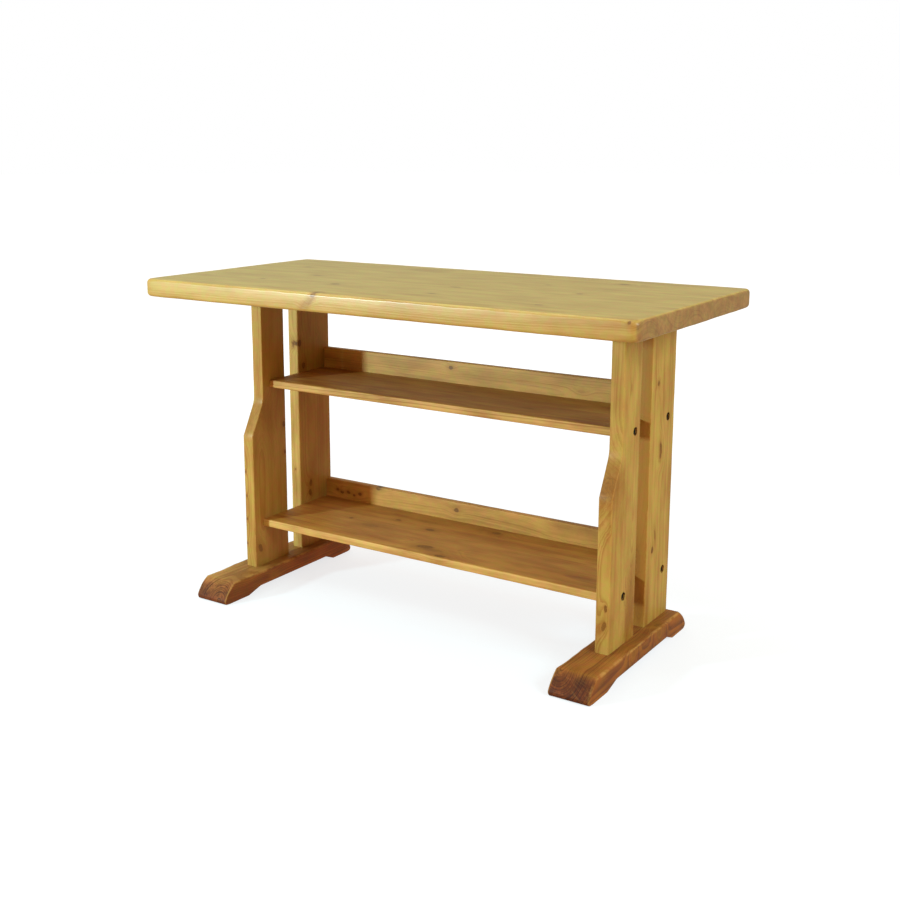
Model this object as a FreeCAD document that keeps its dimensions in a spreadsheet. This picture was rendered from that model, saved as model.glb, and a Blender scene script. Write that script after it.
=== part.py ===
import FreeCAD, Part
import math
import os
import re
import Sketcher

# A trestle potting bench in solid pine, as a parametric document.
#
# Frame, in millimetres: X runs along the bench, Y from the front (-) to the back (+), Z up.
# The origin is on the floor, under the middle of the top.
#
# The right-hand trestle is drawn in place and the left-hand one is its mirror image.
# The top and each shelf are drawn as one slab, as a joiner glues, trims and drills them,
# and the slab is then divided into the boards that it is glued up from.

SIZES = (
    # the top
    ("bench_height", 750, "floor to the top's upper face"),
    ("top_length", 1200, "top, left to right"),
    ("top_depth", 570, "top, front to back"),
    ("top_thickness", 40, "top"),
    ("top_boards", 5, "how many equal boards the top is glued up from"),
    ("top_corner", 14, "radius of the top's four upright corners"),
    ("top_arris", 6, "radius of the top's long and short edges"),
    # the trestles, from the back forwards
    ("trestle_back", 184, "middle of the top to the back of the rear legs"),
    ("leg_thickness", 30, "leg planks"),
    ("leg_arris", 2.5, "radius of the legs' upright edges"),
    ("rear_leg_width", 120, "rear leg, front to back"),
    ("leg_gap", 52, "between the rear leg and the front leg"),
    ("front_leg_width", 120, "front leg below its shoulder"),
    ("shoulder_depth", 40, "how much narrower the front leg is above its shoulder"),
    ("shoulder_foot", 368, "floor to the shoulder's sharp lower corner"),
    ("shoulder_head", 446, "floor to where the shoulder's slope would meet the upper edge"),
    ("shoulder_radius", 55, "hollow where the slope runs into the upper edge"),
    # the feet
    ("foot_width", 90, "foot, left to right"),
    ("foot_height", 46, "floor to the foot's upper face"),
    ("foot_front", 250, "middle of the top to the front tip of the foot"),
    ("foot_back", 224, "middle of the top to the rear tip of the foot"),
    ("nose_length", 36, "how far each nose slopes back from its tip"),
    ("nose_lip", 10, "height of the upright part of the tip"),
    ("nose_radius", 75, "curve of the nose"),
    ("nose_blend", 14, "where the nose runs into the foot's upper face"),
    ("tip_blend", 6, "where the nose runs into the upright part of the tip"),
    ("toe_radius", 7, "lower corner of the tip"),
    ("foot_relief", 12, "hollow under the foot"),
    ("front_pad", 80, "length of the front part that stands on the floor"),
    ("back_pad", 74, "length of the rear part that stands on the floor"),
    ("front_ramp", 42, "length of the slope behind the front pad"),
    ("back_ramp", 30, "length of the slope before the rear pad"),
    ("foot_arris", 5, "radius of the foot's upper edges"),
    # the shelves
    ("shelf_length", 900, "shelves, between the legs' inner faces"),
    ("shelf_thickness", 18, "shelves"),
    ("shelf_arris", 3, "radius of the shelves' front edges"),
    ("shelf_back_board", 120, "width of the rear board of each shelf"),
    ("upper_shelf_height", 495, "floor to the upper shelf's upper face"),
    ("upper_shelf_lap", 56, "how far the upper shelf reaches forward across the front leg"),
    ("lower_shelf_height", 159, "floor to the lower shelf's upper face"),
    ("lower_shelf_lap", 89, "how far the lower shelf reaches forward across the front leg"),
    # the rails
    ("rail_thickness", 18, "rails"),
    ("upper_rail_rise", 50, "upper rail, above its shelf"),
    ("lower_rail_rise", 46, "lower rail, above its shelf"),
    ("rail_arris", 2, "radius of the rails' upper edges"),
    # connector bolts and barrel nuts
    ("bolt_diameter", 6, "connector bolt's thread"),
    ("bolt_clearance", 0.3, "all round the bolt in leg and shelf"),
    ("bolt_inset", 32, "shelf's front or back edge to the bolt"),
    ("bolt_head_diameter", 14, "connector bolt's head"),
    ("bolt_head_height", 5, "connector bolt's head"),
    ("bolt_chamfer", 0.6, "edge of the bolt's head and end of its thread"),
    ("bolt_socket", 5, "across the flats of the hexagon socket"),
    ("bolt_socket_depth", 3, "hexagon socket"),
    ("bolt_past_nut", 3, "how far the bolt's end stands out of the nut"),
    ("counterbore_diameter", 17, "hole that the bolt's head is sunk in"),
    ("counterbore_depth", 8, "hole that the bolt's head is sunk in"),
    ("nut_diameter", 10, "barrel nut"),
    ("nut_clearance", 0.1, "all round the barrel nut"),
    ("nut_cover", 2, "barrel nut's ends to the shelf's faces"),
    ("nut_reach", 30, "shelf's end to the barrel nut"),
    ("nut_slot_width", 1.5, "screwdriver slot in the barrel nut"),
    ("nut_slot_depth", 1.2, "screwdriver slot in the barrel nut"),
    # dowels
    ("shelf_dowel_diameter", 8, "dowel between leg and shelf"),
    ("shelf_dowel_inset", 12, "shelf's front or back edge to the dowel"),
    ("shelf_dowel_in_leg", 12, "dowel's depth in the leg"),
    ("shelf_dowel_in_shelf", 22, "dowel's depth in the shelf"),
    ("leg_dowel_diameter", 12, "dowel at the top or bottom of a leg"),
    ("leg_dowel_depth", 32, "dowel's depth in the leg"),
    ("top_cover", 12, "wood left above a dowel in the top"),
    ("foot_cover", 20, "wood left below a dowel in the foot"),
    ("top_dowel_edge", 20, "edge of the leg's upper end to the dowel in it"),
    ("foot_dowel_edge", 24, "edge of the leg's lower end to the dowel in it"),
    ("dowel_chamfer", 1, "dowels' ends"),
    # coach screws in the feet
    ("coach_diameter", 8, "coach screw's shank"),
    ("coach_clearance", 0.5, "all round the coach screw in the foot"),
    ("coach_depth", 56, "coach screw's depth in the leg"),
    ("coach_flats", 13, "across the flats of the coach screw's head"),
    ("coach_head_height", 5.5, "coach screw's head"),
    ("coach_sink", 12, "hole that the coach screw's head is sunk in"),
    ("washer_diameter", 24, "washer"),
    ("washer_thickness", 2, "washer"),
    ("washer_clearance", 1, "all round the washer in its hole"),
    # screws in the rails
    ("rail_screws", 4, "how many screws hold each rail"),
    ("rail_screw_end", 50, "rail's end to its first screw"),
    ("rail_screw_diameter", 4, "screw's shank"),
    ("rail_screw_head", 8, "diameter of the screw's head"),
    ("rail_screw_head_height", 3, "screw's head"),
    ("rail_screw_sink", 4, "hole that the screw's head is sunk in"),
    ("rail_screw_room", 0.5, "all round the screw's head"),
    ("rail_screw_depth", 26, "screw's depth in the rail"),
)

# Formulas in those sizes, each for a place that several pieces share.
TOP_UNDERSIDE = "(bench_height - top_thickness)"
LEG_INNER = "(shelf_length / 2)"
LEG_MIDDLE = "(shelf_length / 2 + leg_thickness / 2)"
LEG_OUTER = "(shelf_length / 2 + leg_thickness)"
REAR_LEG_FRONT = "(trestle_back - rear_leg_width)"
FRONT_LEG_BACK = "(trestle_back - rear_leg_width - leg_gap)"
FRONT_LEG_FRONT = "(trestle_back - rear_leg_width - leg_gap - front_leg_width)"
FRONT_LEG_NECK = "(trestle_back - rear_leg_width - leg_gap - front_leg_width + shoulder_depth)"
RAIL_MIDDLE = "(trestle_back - rail_thickness / 2)"
SEAT_OF_BOLT = "(shelf_length / 2 + leg_thickness - counterbore_depth)"
CEILING_OF_SINK = "(foot_relief + coach_sink)"
DOWEL_IN_TOP = "(top_thickness - top_cover)"
DOWEL_IN_FOOT = "(foot_height - foot_relief - foot_cover)"

# Each leg: its front and back edge at its upper end and at its lower end.
LEG_ENDS = {
    "front_leg": ((FRONT_LEG_NECK, FRONT_LEG_BACK), (FRONT_LEG_FRONT, FRONT_LEG_BACK)),
    "rear_leg": ((REAR_LEG_FRONT, "trestle_back"), (REAR_LEG_FRONT, "trestle_back")),
}

# Each shelf: its upper face and its front edge.
SHELVES = {
    name: (f"{name}_height", f"({FRONT_LEG_BACK} - {name}_lap)") for name in ("upper_shelf", "lower_shelf")
}

SLACK = 0.001  # how near an edge has to be to a place to count as lying there
HEXAGON = 6
SIDEWAYS = FreeCAD.Rotation(FreeCAD.Vector(0, 1, 0), -90)  # turns a piece's own +Z to -X
UPRIGHT = FreeCAD.Rotation()
ALONG_X = FreeCAD.Rotation(FreeCAD.Vector(0, 1, 0), 90)

doc = FreeCAD.newDocument("potting_bench")


# ---- the sheet -------------------------------------------------------------------------------

def make_sheet():
    """Spreadsheet with one row for each size: its meaning and its value, under the size's name."""
    made = doc.addObject("Spreadsheet::Sheet", "Sizes")
    for row, (name, number, meaning) in enumerate(SIZES, start=1):
        made.set(f"A{row}", meaning)
        made.set(f"B{row}", str(number))
        made.setAlias(f"B{row}", name)
    doc.recompute()
    return made


sheet = make_sheet()


def sized(formula):
    """The formula as FreeCAD reads it: each size's name has an underscore and lives in the sheet."""
    return re.sub(r"[a-z]+(?:_[a-z]+)+", r"Sizes.\g<0>", formula)


def value(formula):
    """What the formula comes to."""
    return float(sheet.evalExpression(sized(formula)))


# ---- sketches and features -------------------------------------------------------------------

def new_body(name):
    body = doc.addObject("PartDesign::Body", name)
    body.Label = name
    return body


def new_sketch(body, name, plane, height="0"):
    """Sketch on one of the body's own origin planes, or that far along the plane's normal."""
    planes = {feature.Role: feature for feature in body.Origin.OriginFeatures}
    sketch = body.newObject("Sketcher::SketchObject", name)
    sketch.AttachmentSupport = [(planes[plane], "")]
    sketch.MapMode = "FlatFace"
    sketch.setExpression("AttachmentOffset.Base.z", sized(height))
    return sketch


def constrain(sketch, kind, places, formula):
    """Constraint of a length that follows a formula."""
    index = sketch.addConstraint(Sketcher.Constraint(kind, *places, value(formula)))
    sketch.setExpression(f"Constraints[{index}]", sized(formula))


def pin(sketch, geometry, point, spot):
    """Hold a point of the sketch at a spot, given as two formulas."""
    constrain(sketch, "DistanceX", (-1, 1, geometry, point), spot[0])
    constrain(sketch, "DistanceY", (-1, 1, geometry, point), spot[1])


def arc_between(start, end, radius):
    """Arc that turns left from start to end, so that it bulges out of an outline drawn that way."""
    chord = end - start
    reach = math.sqrt(radius ** 2 - (chord.Length / 2) ** 2)
    centre = (start + end) / 2 + FreeCAD.Vector(-chord.y, chord.x, 0) * (reach / chord.Length)
    angles = [math.atan2(spot.y - centre.y, spot.x - centre.x) for spot in (start, end)]
    return Part.ArcOfCircle(Part.Circle(centre, FreeCAD.Vector(0, 0, 1), radius), *angles)


def draw_outline(sketch, corners, arcs=()):
    """Closed outline through the corners, counter-clockwise.

    arcs holds pairs of a side's number and its radius; the other sides are straight.
    """
    radii = dict(arcs)
    spots = [FreeCAD.Vector(value(across), value(up), 0) for across, up in corners]
    for side, start in enumerate(spots):
        end = spots[(side + 1) % len(spots)]
        if side in radii:
            sketch.addGeometry(arc_between(start, end, value(radii[side])))
        else:
            sketch.addGeometry(Part.LineSegment(start, end))
    for side, corner in enumerate(corners):
        following = (side + 1) % len(corners)
        sketch.addConstraint(Sketcher.Constraint("Coincident", side, 2, following, 1))
        pin(sketch, side, 1, corner)
    for side, radius in radii.items():
        constrain(sketch, "Radius", (side,), radius)


def pad(body, name, sketch, length):
    feature = body.newObject("PartDesign::Pad", name)
    feature.Profile = sketch
    feature.setExpression("Length", sized(length))
    doc.recompute()
    return feature


def round_edges(body, name, radius, wanted):
    """Fillet on every edge of the body so far that wanted() picks."""
    base = body.Tip
    picked = [f"Edge{number}" for number, edge in enumerate(base.Shape.Edges, start=1) if wanted(edge)]
    fillet = body.newObject("PartDesign::Fillet", name)
    fillet.Base = (base, picked)
    fillet.setExpression("Radius", sized(radius))
    doc.recompute()


def sink(body, name, plane, height, spots, diameter, depth, along_normal):
    """Round holes of one size, sunk from the plane at that height along its normal or against it."""
    sketch = new_sketch(body, f"{name}_circles", plane, height)
    for number, spot in enumerate(spots):
        centre = FreeCAD.Vector(value(spot[0]), value(spot[1]), 0)
        circle = Part.Circle(centre, FreeCAD.Vector(0, 0, 1), value(diameter) / 2)
        sketch.addGeometry(circle)
        pin(sketch, number, 3, spot)
        constrain(sketch, "Diameter", (number,), diameter)
    solid_before = body.Shape.Volume
    pocket = body.newObject("PartDesign::Pocket", name)
    pocket.Profile = sketch
    pocket.Reversed = along_normal
    pocket.setExpression("Length", sized(depth))
    doc.recompute()
    drilled = len(spots) * math.pi * (value(diameter) / 2) ** 2 * value(depth)
    if solid_before - body.Shape.Volume < drilled / 4:
        raise RuntimeError(f"{name} in {body.Label} missed the wood")


def on_spot(number, formula):
    return abs(number - value(formula)) < SLACK


def box_of(edge):
    return edge.BoundBox


def runs_along(edge, axis):
    """True for a straight edge along X, Y or Z."""
    box = box_of(edge)
    spans = {"X": box.XLength, "Y": box.YLength, "Z": box.ZLength}
    across = [span for name, span in spans.items() if name != axis]
    return spans[axis] > SLACK > max(across)


# ---- copies, booleans and turned pieces ------------------------------------------------------

def boolean(kind, name, base, tool):
    made = doc.addObject(f"Part::{kind}", name)
    made.Label = name
    made.Base = base
    made.Tool = tool
    return made


def mirror_image(name, source):
    """The same piece on the left-hand side of the bench."""
    made = doc.addObject("Part::Mirroring", name)
    made.Label = name
    made.Source = source
    made.Base = (0, 0, 0)
    made.Normal = (1, 0, 0)
    return made


def place(piece, spot, rotation):
    piece.Placement = FreeCAD.Placement(FreeCAD.Vector(), rotation)
    for axis, formula in zip("xyz", spot):
        piece.setExpression(f"Placement.Base.{axis}", sized(formula))


def copies(name, master, spots, rotation):
    """Group of one master piece set down at each spot."""
    links = []
    for number, spot in enumerate(spots, start=1):
        link = doc.addObject("App::Link", f"{name}_{number}")
        link.LinkedObject = master
        place(link, spot, rotation)
        links.append(link)
    return group(name, links)


def group(name, members):
    made = doc.addObject("Part::Compound", name)
    made.Label = name
    made.Links = members
    return made


def both_sides(name, master, spots, rotation):
    """Group of copies on the right-hand side and their mirror images on the left."""
    right = copies(f"{name}_right", master, spots, rotation)
    return group(name, [right, mirror_image(f"{name}_left", right)])


def turned(name, profile):
    """Solid of revolution about its own Z, from pairs of radius and height, from the bottom up."""
    body = new_body(name)
    sketch = new_sketch(body, f"{name}_profile", "XZ_Plane")
    bottom, top = profile[0][1], profile[-1][1]
    draw_outline(sketch, (("0", bottom), *profile, ("0", top)))
    revolution = body.newObject("PartDesign::Revolution", f"{name}_turning")
    revolution.Profile = sketch
    revolution.ReferenceAxis = (sketch, ["V_Axis"])
    doc.recompute()
    return body


def hexagon_bar(name, flats, height, base):
    """Hexagonal bar about its own Z, as tall as height, that starts at base."""
    bar = doc.addObject("Part::Prism", name)
    bar.Polygon = HEXAGON
    bar.setExpression("Circumradius", sized(f"{flats} / sqrt(3)"))
    bar.setExpression("Height", sized(height))
    place(bar, ("0", "0", base), UPRIGHT)
    return bar


def dowel(name, diameter, length):
    """Plain dowel with chamfered ends, from its own origin up."""
    end = f"({diameter} / 2 - dowel_chamfer)"
    side = f"({diameter} / 2)"
    upper = f"{length} - dowel_chamfer"
    return turned(name, ((end, "0"), (side, "dowel_chamfer"), (side, upper), (end, length)))


# ---- places that holes and fasteners share ---------------------------------------------------

def bolt_spots(shelf):
    """The bolts at a shelf's end, in the front and the rear leg: (Y, Z)."""
    face, front = SHELVES[shelf]
    middle = f"({face} - shelf_thickness / 2)"
    return ((f"({front} + bolt_inset)", middle), ("(trestle_back - bolt_inset)", middle))


def shelf_dowel_spots(shelf):
    """The dowels at a shelf's end, in the front and the rear leg: (Y, Z)."""
    face, front = SHELVES[shelf]
    middle = f"({face} - shelf_thickness / 2)"
    return ((f"({front} + shelf_dowel_inset)", middle), ("(trestle_back - shelf_dowel_inset)", middle))


def end_dowel_spots(leg, end):
    """The two dowels in a right-hand leg's upper or lower end: (X, Y)."""
    front, back = LEG_ENDS[leg][("top", "foot").index(end)]
    edge = f"{end}_dowel_edge"
    return ((LEG_MIDDLE, f"({front} + {edge})"), (LEG_MIDDLE, f"({back} - {edge})"))


def coach_spots():
    """The coach screw under the middle of each right-hand leg: (X, Y)."""
    return [(LEG_MIDDLE, f"(({front} + {back}) / 2)") for _, (front, back) in LEG_ENDS.values()]


def all_end_dowels(end):
    return [spot for leg in LEG_ENDS for spot in end_dowel_spots(leg, end)]


def rail_screw_spots():
    """The screws along a rail: (X, Y)."""
    gaps = int(value("rail_screws")) - 1
    first = "(rail_screw_end - shelf_length / 2)"
    pitch = "((shelf_length - 2 * rail_screw_end) / (rail_screws - 1))"
    return [(f"({first} + {number} * {pitch})", RAIL_MIDDLE) for number in range(gaps + 1)]


# ---- the top ---------------------------------------------------------------------------------

def rectangle(left, right, front, back):
    return ((left, front), (right, front), (right, back), (left, back))


def divide(slab, names, seams, low, high):
    """Boards of a slab that reaches from low to high, cut along the seams (Y), front board first."""
    boards = []
    for name, front, back in zip(names, seams, seams[1:]):
        strip = doc.addObject("Part::Box", f"{name}_strip")
        strip.setExpression("Length", sized("top_length + shelf_length"))
        strip.setExpression("Width", sized(f"{back} - {front}"))
        strip.setExpression("Height", sized(f"{high} - {low}"))
        place(strip, ("-(top_length + shelf_length) / 2", front, low), UPRIGHT)
        boards.append(boolean("Common", name, slab, strip))
    return boards


def make_top():
    slab = new_body("top_slab")
    outline = rectangle("-top_length / 2", "top_length / 2", "-top_depth / 2", "top_depth / 2")
    sketch = new_sketch(slab, "top_outline", "XY_Plane", TOP_UNDERSIDE)
    draw_outline(sketch, outline)
    pad(slab, "top_pad", sketch, "top_thickness")
    round_edges(slab, "top_corners", "top_corner", lambda edge: runs_along(edge, "Z"))
    round_edges(slab, "top_arrises", "top_arris", lambda edge: box_of(edge).ZLength < SLACK)
    for hand, side in (("right", ""), ("left", "-")):
        spots = [(f"{side}{across}", back) for across, back in all_end_dowels("top")]
        sink(
            slab, f"{hand}_dowel_holes", "XY_Plane", TOP_UNDERSIDE, spots,
            "leg_dowel_diameter", DOWEL_IN_TOP, True,
        )
    count = int(value("top_boards"))
    seams = [f"(-top_depth / 2 + {number} * top_depth / top_boards)" for number in range(count + 1)]
    names = [f"top_board_{number}" for number in range(1, count + 1)]
    return divide(slab, names, seams, TOP_UNDERSIDE, "bench_height")


# ---- the trestles ----------------------------------------------------------------------------

def drill_leg(body, leg):
    """Holes for the bolts, the shelves' dowels and the leg's own end fixings."""
    order = list(LEG_ENDS).index(leg)
    for shelf in SHELVES:
        bolt = bolt_spots(shelf)[order]
        peg = shelf_dowel_spots(shelf)[order]
        sink(
            body, f"{shelf}_bolt_hole", "YZ_Plane", LEG_INNER, [bolt],
            "(bolt_diameter + 2 * bolt_clearance)", "leg_thickness", True,
        )
        sink(
            body, f"{shelf}_counterbore", "YZ_Plane", LEG_OUTER, [bolt],
            "counterbore_diameter", "counterbore_depth", False,
        )
        sink(
            body, f"{shelf}_dowel_hole", "YZ_Plane", LEG_INNER, [peg],
            "shelf_dowel_diameter", "shelf_dowel_in_leg", True,
        )
    sink(
        body, "upper_end_dowel_holes", "XY_Plane", TOP_UNDERSIDE, end_dowel_spots(leg, "top"),
        "leg_dowel_diameter", "leg_dowel_depth", False,
    )
    sink(
        body, "lower_end_dowel_holes", "XY_Plane", "foot_height", end_dowel_spots(leg, "foot"),
        "leg_dowel_diameter", "leg_dowel_depth", True,
    )
    under = coach_spots()[order]
    sink(body, "coach_hole", "XY_Plane", "foot_height", [under], "coach_diameter", "coach_depth", True)


def make_leg(leg, corners):
    """Right-hand leg plank: the outline in Y and Z, its thickness in X."""
    body = new_body(f"right_{leg}")
    sketch = new_sketch(body, f"{leg}_outline", "YZ_Plane", LEG_INNER)
    draw_outline(sketch, corners)
    pad(body, f"{leg}_plank", sketch, "leg_thickness")
    if leg == "front_leg":
        round_edges(body, "shoulder_hollow", "shoulder_radius", is_shoulder_head)
    round_edges(body, f"{leg}_arrises", "leg_arris", is_leg_arris)
    drill_leg(body, leg)
    return body


def is_shoulder_head(edge):
    box = box_of(edge)
    return runs_along(edge, "X") and on_spot(box.ZMin, "shoulder_head")


def is_leg_arris(edge):
    """The edges round a plank's two faces, but not those of its end grain."""
    box = box_of(edge)
    return box.XLength < SLACK < box.ZLength


def make_legs():
    front = make_leg("front_leg", (
        (FRONT_LEG_FRONT, "foot_height"),
        (FRONT_LEG_BACK, "foot_height"),
        (FRONT_LEG_BACK, TOP_UNDERSIDE),
        (FRONT_LEG_NECK, TOP_UNDERSIDE),
        (FRONT_LEG_NECK, "shoulder_head"),
        (FRONT_LEG_FRONT, "shoulder_foot"),
    ))
    rear = make_leg("rear_leg", rectangle(REAR_LEG_FRONT, "trestle_back", "foot_height", TOP_UNDERSIDE))
    return [front, rear]


def make_foot():
    """Right-hand foot: a bar with a rounded nose at each end and a hollow underneath."""
    body = new_body("right_foot")
    sketch = new_sketch(body, "foot_outline", "YZ_Plane", f"{LEG_MIDDLE} - foot_width / 2")
    draw_outline(sketch, (
        ("-foot_front", "0"),
        ("-foot_front + front_pad", "0"),
        ("-foot_front + front_pad + front_ramp", "foot_relief"),
        ("foot_back - back_pad - back_ramp", "foot_relief"),
        ("foot_back - back_pad", "0"),
        ("foot_back", "0"),
        ("foot_back", "nose_lip"),
        ("foot_back - nose_length", "foot_height"),
        ("-foot_front + nose_length", "foot_height"),
        ("-foot_front", "nose_lip"),
    ), arcs=((6, "nose_radius"), (8, "nose_radius")))
    pad(body, "foot_bar", sketch, "foot_width")
    round_edges(body, "nose_blends", "nose_blend", lambda edge: lies_across(edge, "foot_height"))
    round_edges(body, "tip_blends", "tip_blend", lambda edge: lies_across(edge, "nose_lip"))
    round_edges(body, "toes", "toe_radius", lambda edge: lies_across(edge, "0") and is_at_tip(edge))
    round_edges(body, "foot_arrises", "foot_arris", is_foot_arris)
    sink(
        body, "coach_holes", "XY_Plane", "foot_relief", coach_spots(),
        "(coach_diameter + 2 * coach_clearance)", "foot_height - foot_relief", True,
    )
    sink(
        body, "coach_sinks", "XY_Plane", "foot_relief", coach_spots(),
        "(washer_diameter + 2 * washer_clearance)", "coach_sink", True,
    )
    sink(
        body, "foot_dowel_holes", "XY_Plane", "foot_height", all_end_dowels("foot"),
        "leg_dowel_diameter", DOWEL_IN_FOOT, False,
    )
    return body


def lies_across(edge, height):
    """True for an edge from side to side of the foot at that height."""
    return runs_along(edge, "X") and on_spot(box_of(edge).ZMin, height)


def is_at_tip(edge):
    """True for an edge in front of the front pad's flat or behind the rear pad's."""
    box = box_of(edge)
    return box.YMax < value("-foot_front + tip_blend") or box.YMin > value("foot_back - tip_blend")


def is_foot_arris(edge):
    """The edges round a foot's two sides, except those of its pads, ramps and hollow."""
    box = box_of(edge)
    return box.XLength < SLACK and (box.ZMax > value("foot_relief") + SLACK or is_at_tip(edge))


# ---- the shelves and rails -------------------------------------------------------------------

def make_shelf(shelf):
    face, front = SHELVES[shelf]
    underside = f"({face} - shelf_thickness)"
    slab = new_body(f"{shelf}_slab")
    sketch = new_sketch(slab, f"{shelf}_outline", "XY_Plane", underside)
    draw_outline(sketch, rectangle("-shelf_length / 2", "shelf_length / 2", front, "trestle_back"))
    pad(slab, f"{shelf}_pad", sketch, "shelf_thickness")
    round_edges(
        slab, f"{shelf}_arrises", "shelf_arris",
        lambda edge: runs_along(edge, "X") and on_spot(box_of(edge).YMin, front),
    )
    for side, along_normal in (("-", True), ("", False)):
        end = f"{side}(shelf_length / 2)"
        hand = "left" if side else "right"
        sink(
            slab, f"{hand}_bolt_holes", "YZ_Plane", end, bolt_spots(shelf),
            "(bolt_diameter + 2 * bolt_clearance)", "(nut_reach + nut_diameter)", along_normal,
        )
        sink(
            slab, f"{hand}_dowel_holes", "YZ_Plane", end, shelf_dowel_spots(shelf),
            "shelf_dowel_diameter", "shelf_dowel_in_shelf", along_normal,
        )
        nuts = [(f"{side}(shelf_length / 2 - nut_reach)", spot[0]) for spot in bolt_spots(shelf)]
        sink(
            slab, f"{hand}_nut_holes", "XY_Plane", underside, nuts,
            "(nut_diameter + 2 * nut_clearance)", "(shelf_thickness - nut_cover)", True,
        )
    sink(
        slab, "screw_holes", "XY_Plane", underside, rail_screw_spots(),
        "rail_screw_diameter", "shelf_thickness", True,
    )
    sink(
        slab, "screw_sinks", "XY_Plane", underside, rail_screw_spots(),
        "(rail_screw_head + 2 * rail_screw_room)", "rail_screw_sink", True,
    )
    names = [f"{shelf}_front_board", f"{shelf}_back_board"]
    seams = [front, "(trestle_back - shelf_back_board)", "trestle_back"]
    return divide(slab, names, seams, underside, face)


def make_rail(name, shelf):
    face = SHELVES[shelf][0]
    body = new_body(name)
    sketch = new_sketch(body, f"{name}_outline", "XY_Plane", face)
    rail_front = "(trestle_back - rail_thickness)"
    draw_outline(sketch, rectangle("-shelf_length / 2", "shelf_length / 2", rail_front, "trestle_back"))
    pad(body, f"{name}_bar", sketch, f"{name}_rise")
    upper_face = f"{face} + {name}_rise"
    round_edges(
        body, f"{name}_arrises", "rail_arris",
        lambda edge: runs_along(edge, "X") and on_spot(box_of(edge).ZMin, upper_face),
    )
    sink(
        body, f"{name}_screw_holes", "XY_Plane", face, rail_screw_spots(),
        "rail_screw_diameter", "rail_screw_depth", True,
    )
    return body


# ---- the fasteners ---------------------------------------------------------------------------

def make_bolt():
    """Connector bolt: its own origin is under the head, and the thread points along +Z."""
    head = "(bolt_head_diameter / 2)"
    shank = "(bolt_diameter / 2)"
    length = "(leg_thickness - counterbore_depth + nut_reach + nut_diameter / 2 + bolt_past_nut)"
    blank = turned("bolt_blank", (
        (f"{head} - bolt_chamfer", "-bolt_head_height"),
        (head, "-bolt_head_height + bolt_chamfer"),
        (head, "0"),
        (shank, "0"),
        (shank, f"{length} - bolt_chamfer"),
        (f"{shank} - bolt_chamfer", length),
    ))
    socket = hexagon_bar("bolt_socket_tool", "bolt_socket", "bolt_socket_depth", "-bolt_head_height")
    return boolean("Cut", "bolt_master", blank, socket)


def make_barrel_nut():
    """Barrel nut: its own origin is on the bolt's axis, which runs along X."""
    half = "(shelf_thickness / 2 - nut_cover)"
    side = "(nut_diameter / 2)"
    blank = turned("nut_blank", ((side, f"-{half}"), (side, half)))
    thread = doc.addObject("Part::Cylinder", "nut_thread_tool")
    thread.setExpression("Radius", sized("bolt_diameter / 2"))
    thread.setExpression("Height", sized("2 * nut_diameter"))
    place(thread, ("-nut_diameter", "0", "0"), ALONG_X)
    slot = doc.addObject("Part::Box", "nut_slot_tool")
    slot.setExpression("Length", sized("2 * nut_diameter"))
    slot.setExpression("Width", sized("nut_slot_width"))
    slot.setExpression("Height", sized("nut_slot_depth"))
    place(slot, ("-nut_diameter", "-nut_slot_width / 2", f"-{half}"), UPRIGHT)
    return boolean("Cut", "nut_master", boolean("Cut", "nut_drilled", blank, thread), slot)


def make_coach_screw():
    """Coach screw: its own origin is under the head, and the point is up."""
    shank = "(coach_diameter / 2)"
    length = f"({DOWEL_IN_FOOT} + foot_cover - coach_sink + washer_thickness + coach_depth)"
    shaft = turned("coach_shaft", (
        (shank, "0"),
        (shank, f"{length} - coach_diameter"),
        ("coach_clearance", length),
    ))
    head = hexagon_bar("coach_head", "coach_flats", "coach_head_height", "-coach_head_height")
    return boolean("Fuse", "coach_master", shaft, head)


def make_washer():
    """Washer: its own origin is the middle of its upper face."""
    blank = turned("washer_blank", (
        ("(washer_diameter / 2)", "-washer_thickness"),
        ("(washer_diameter / 2)", "0"),
    ))
    hole = doc.addObject("Part::Cylinder", "washer_hole_tool")
    hole.setExpression("Radius", sized("coach_diameter / 2 + coach_clearance"))
    hole.setExpression("Height", sized("3 * washer_thickness"))
    place(hole, ("0", "0", "-2 * washer_thickness"), UPRIGHT)
    return boolean("Cut", "washer_master", blank, hole)


def make_rail_screw():
    """Rail screw: its own origin is under the head, and the point is up."""
    head = "(rail_screw_head / 2)"
    shank = "(rail_screw_diameter / 2)"
    length = "(shelf_thickness - rail_screw_sink + rail_screw_depth)"
    return turned("rail_screw_master", (
        (f"({head} - rail_screw_room)", "-rail_screw_head_height"),
        (head, "-rail_screw_head_height + rail_screw_room"),
        (head, "0"),
        (shank, "0"),
        (shank, f"{length} - rail_screw_diameter"),
        ("(rail_screw_room / 2)", length),
    ))


def make_shelf_fasteners():
    bolt = make_bolt()
    nut = make_barrel_nut()
    peg = dowel("shelf_dowel_master", "shelf_dowel_diameter", "(shelf_dowel_in_leg + shelf_dowel_in_shelf)")
    peg_start = "(shelf_length / 2 + shelf_dowel_in_leg)"
    nut_place = "(shelf_length / 2 - nut_reach)"
    made = []
    for shelf in SHELVES:
        bolts = [(SEAT_OF_BOLT, *spot) for spot in bolt_spots(shelf)]
        nuts = [(nut_place, *spot) for spot in bolt_spots(shelf)]
        pegs = [(peg_start, *spot) for spot in shelf_dowel_spots(shelf)]
        made.append(both_sides(f"{shelf}_bolts", bolt, bolts, SIDEWAYS))
        made.append(both_sides(f"{shelf}_barrel_nuts", nut, nuts, UPRIGHT))
        made.append(both_sides(f"{shelf}_dowels", peg, pegs, SIDEWAYS))
    return made


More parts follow.
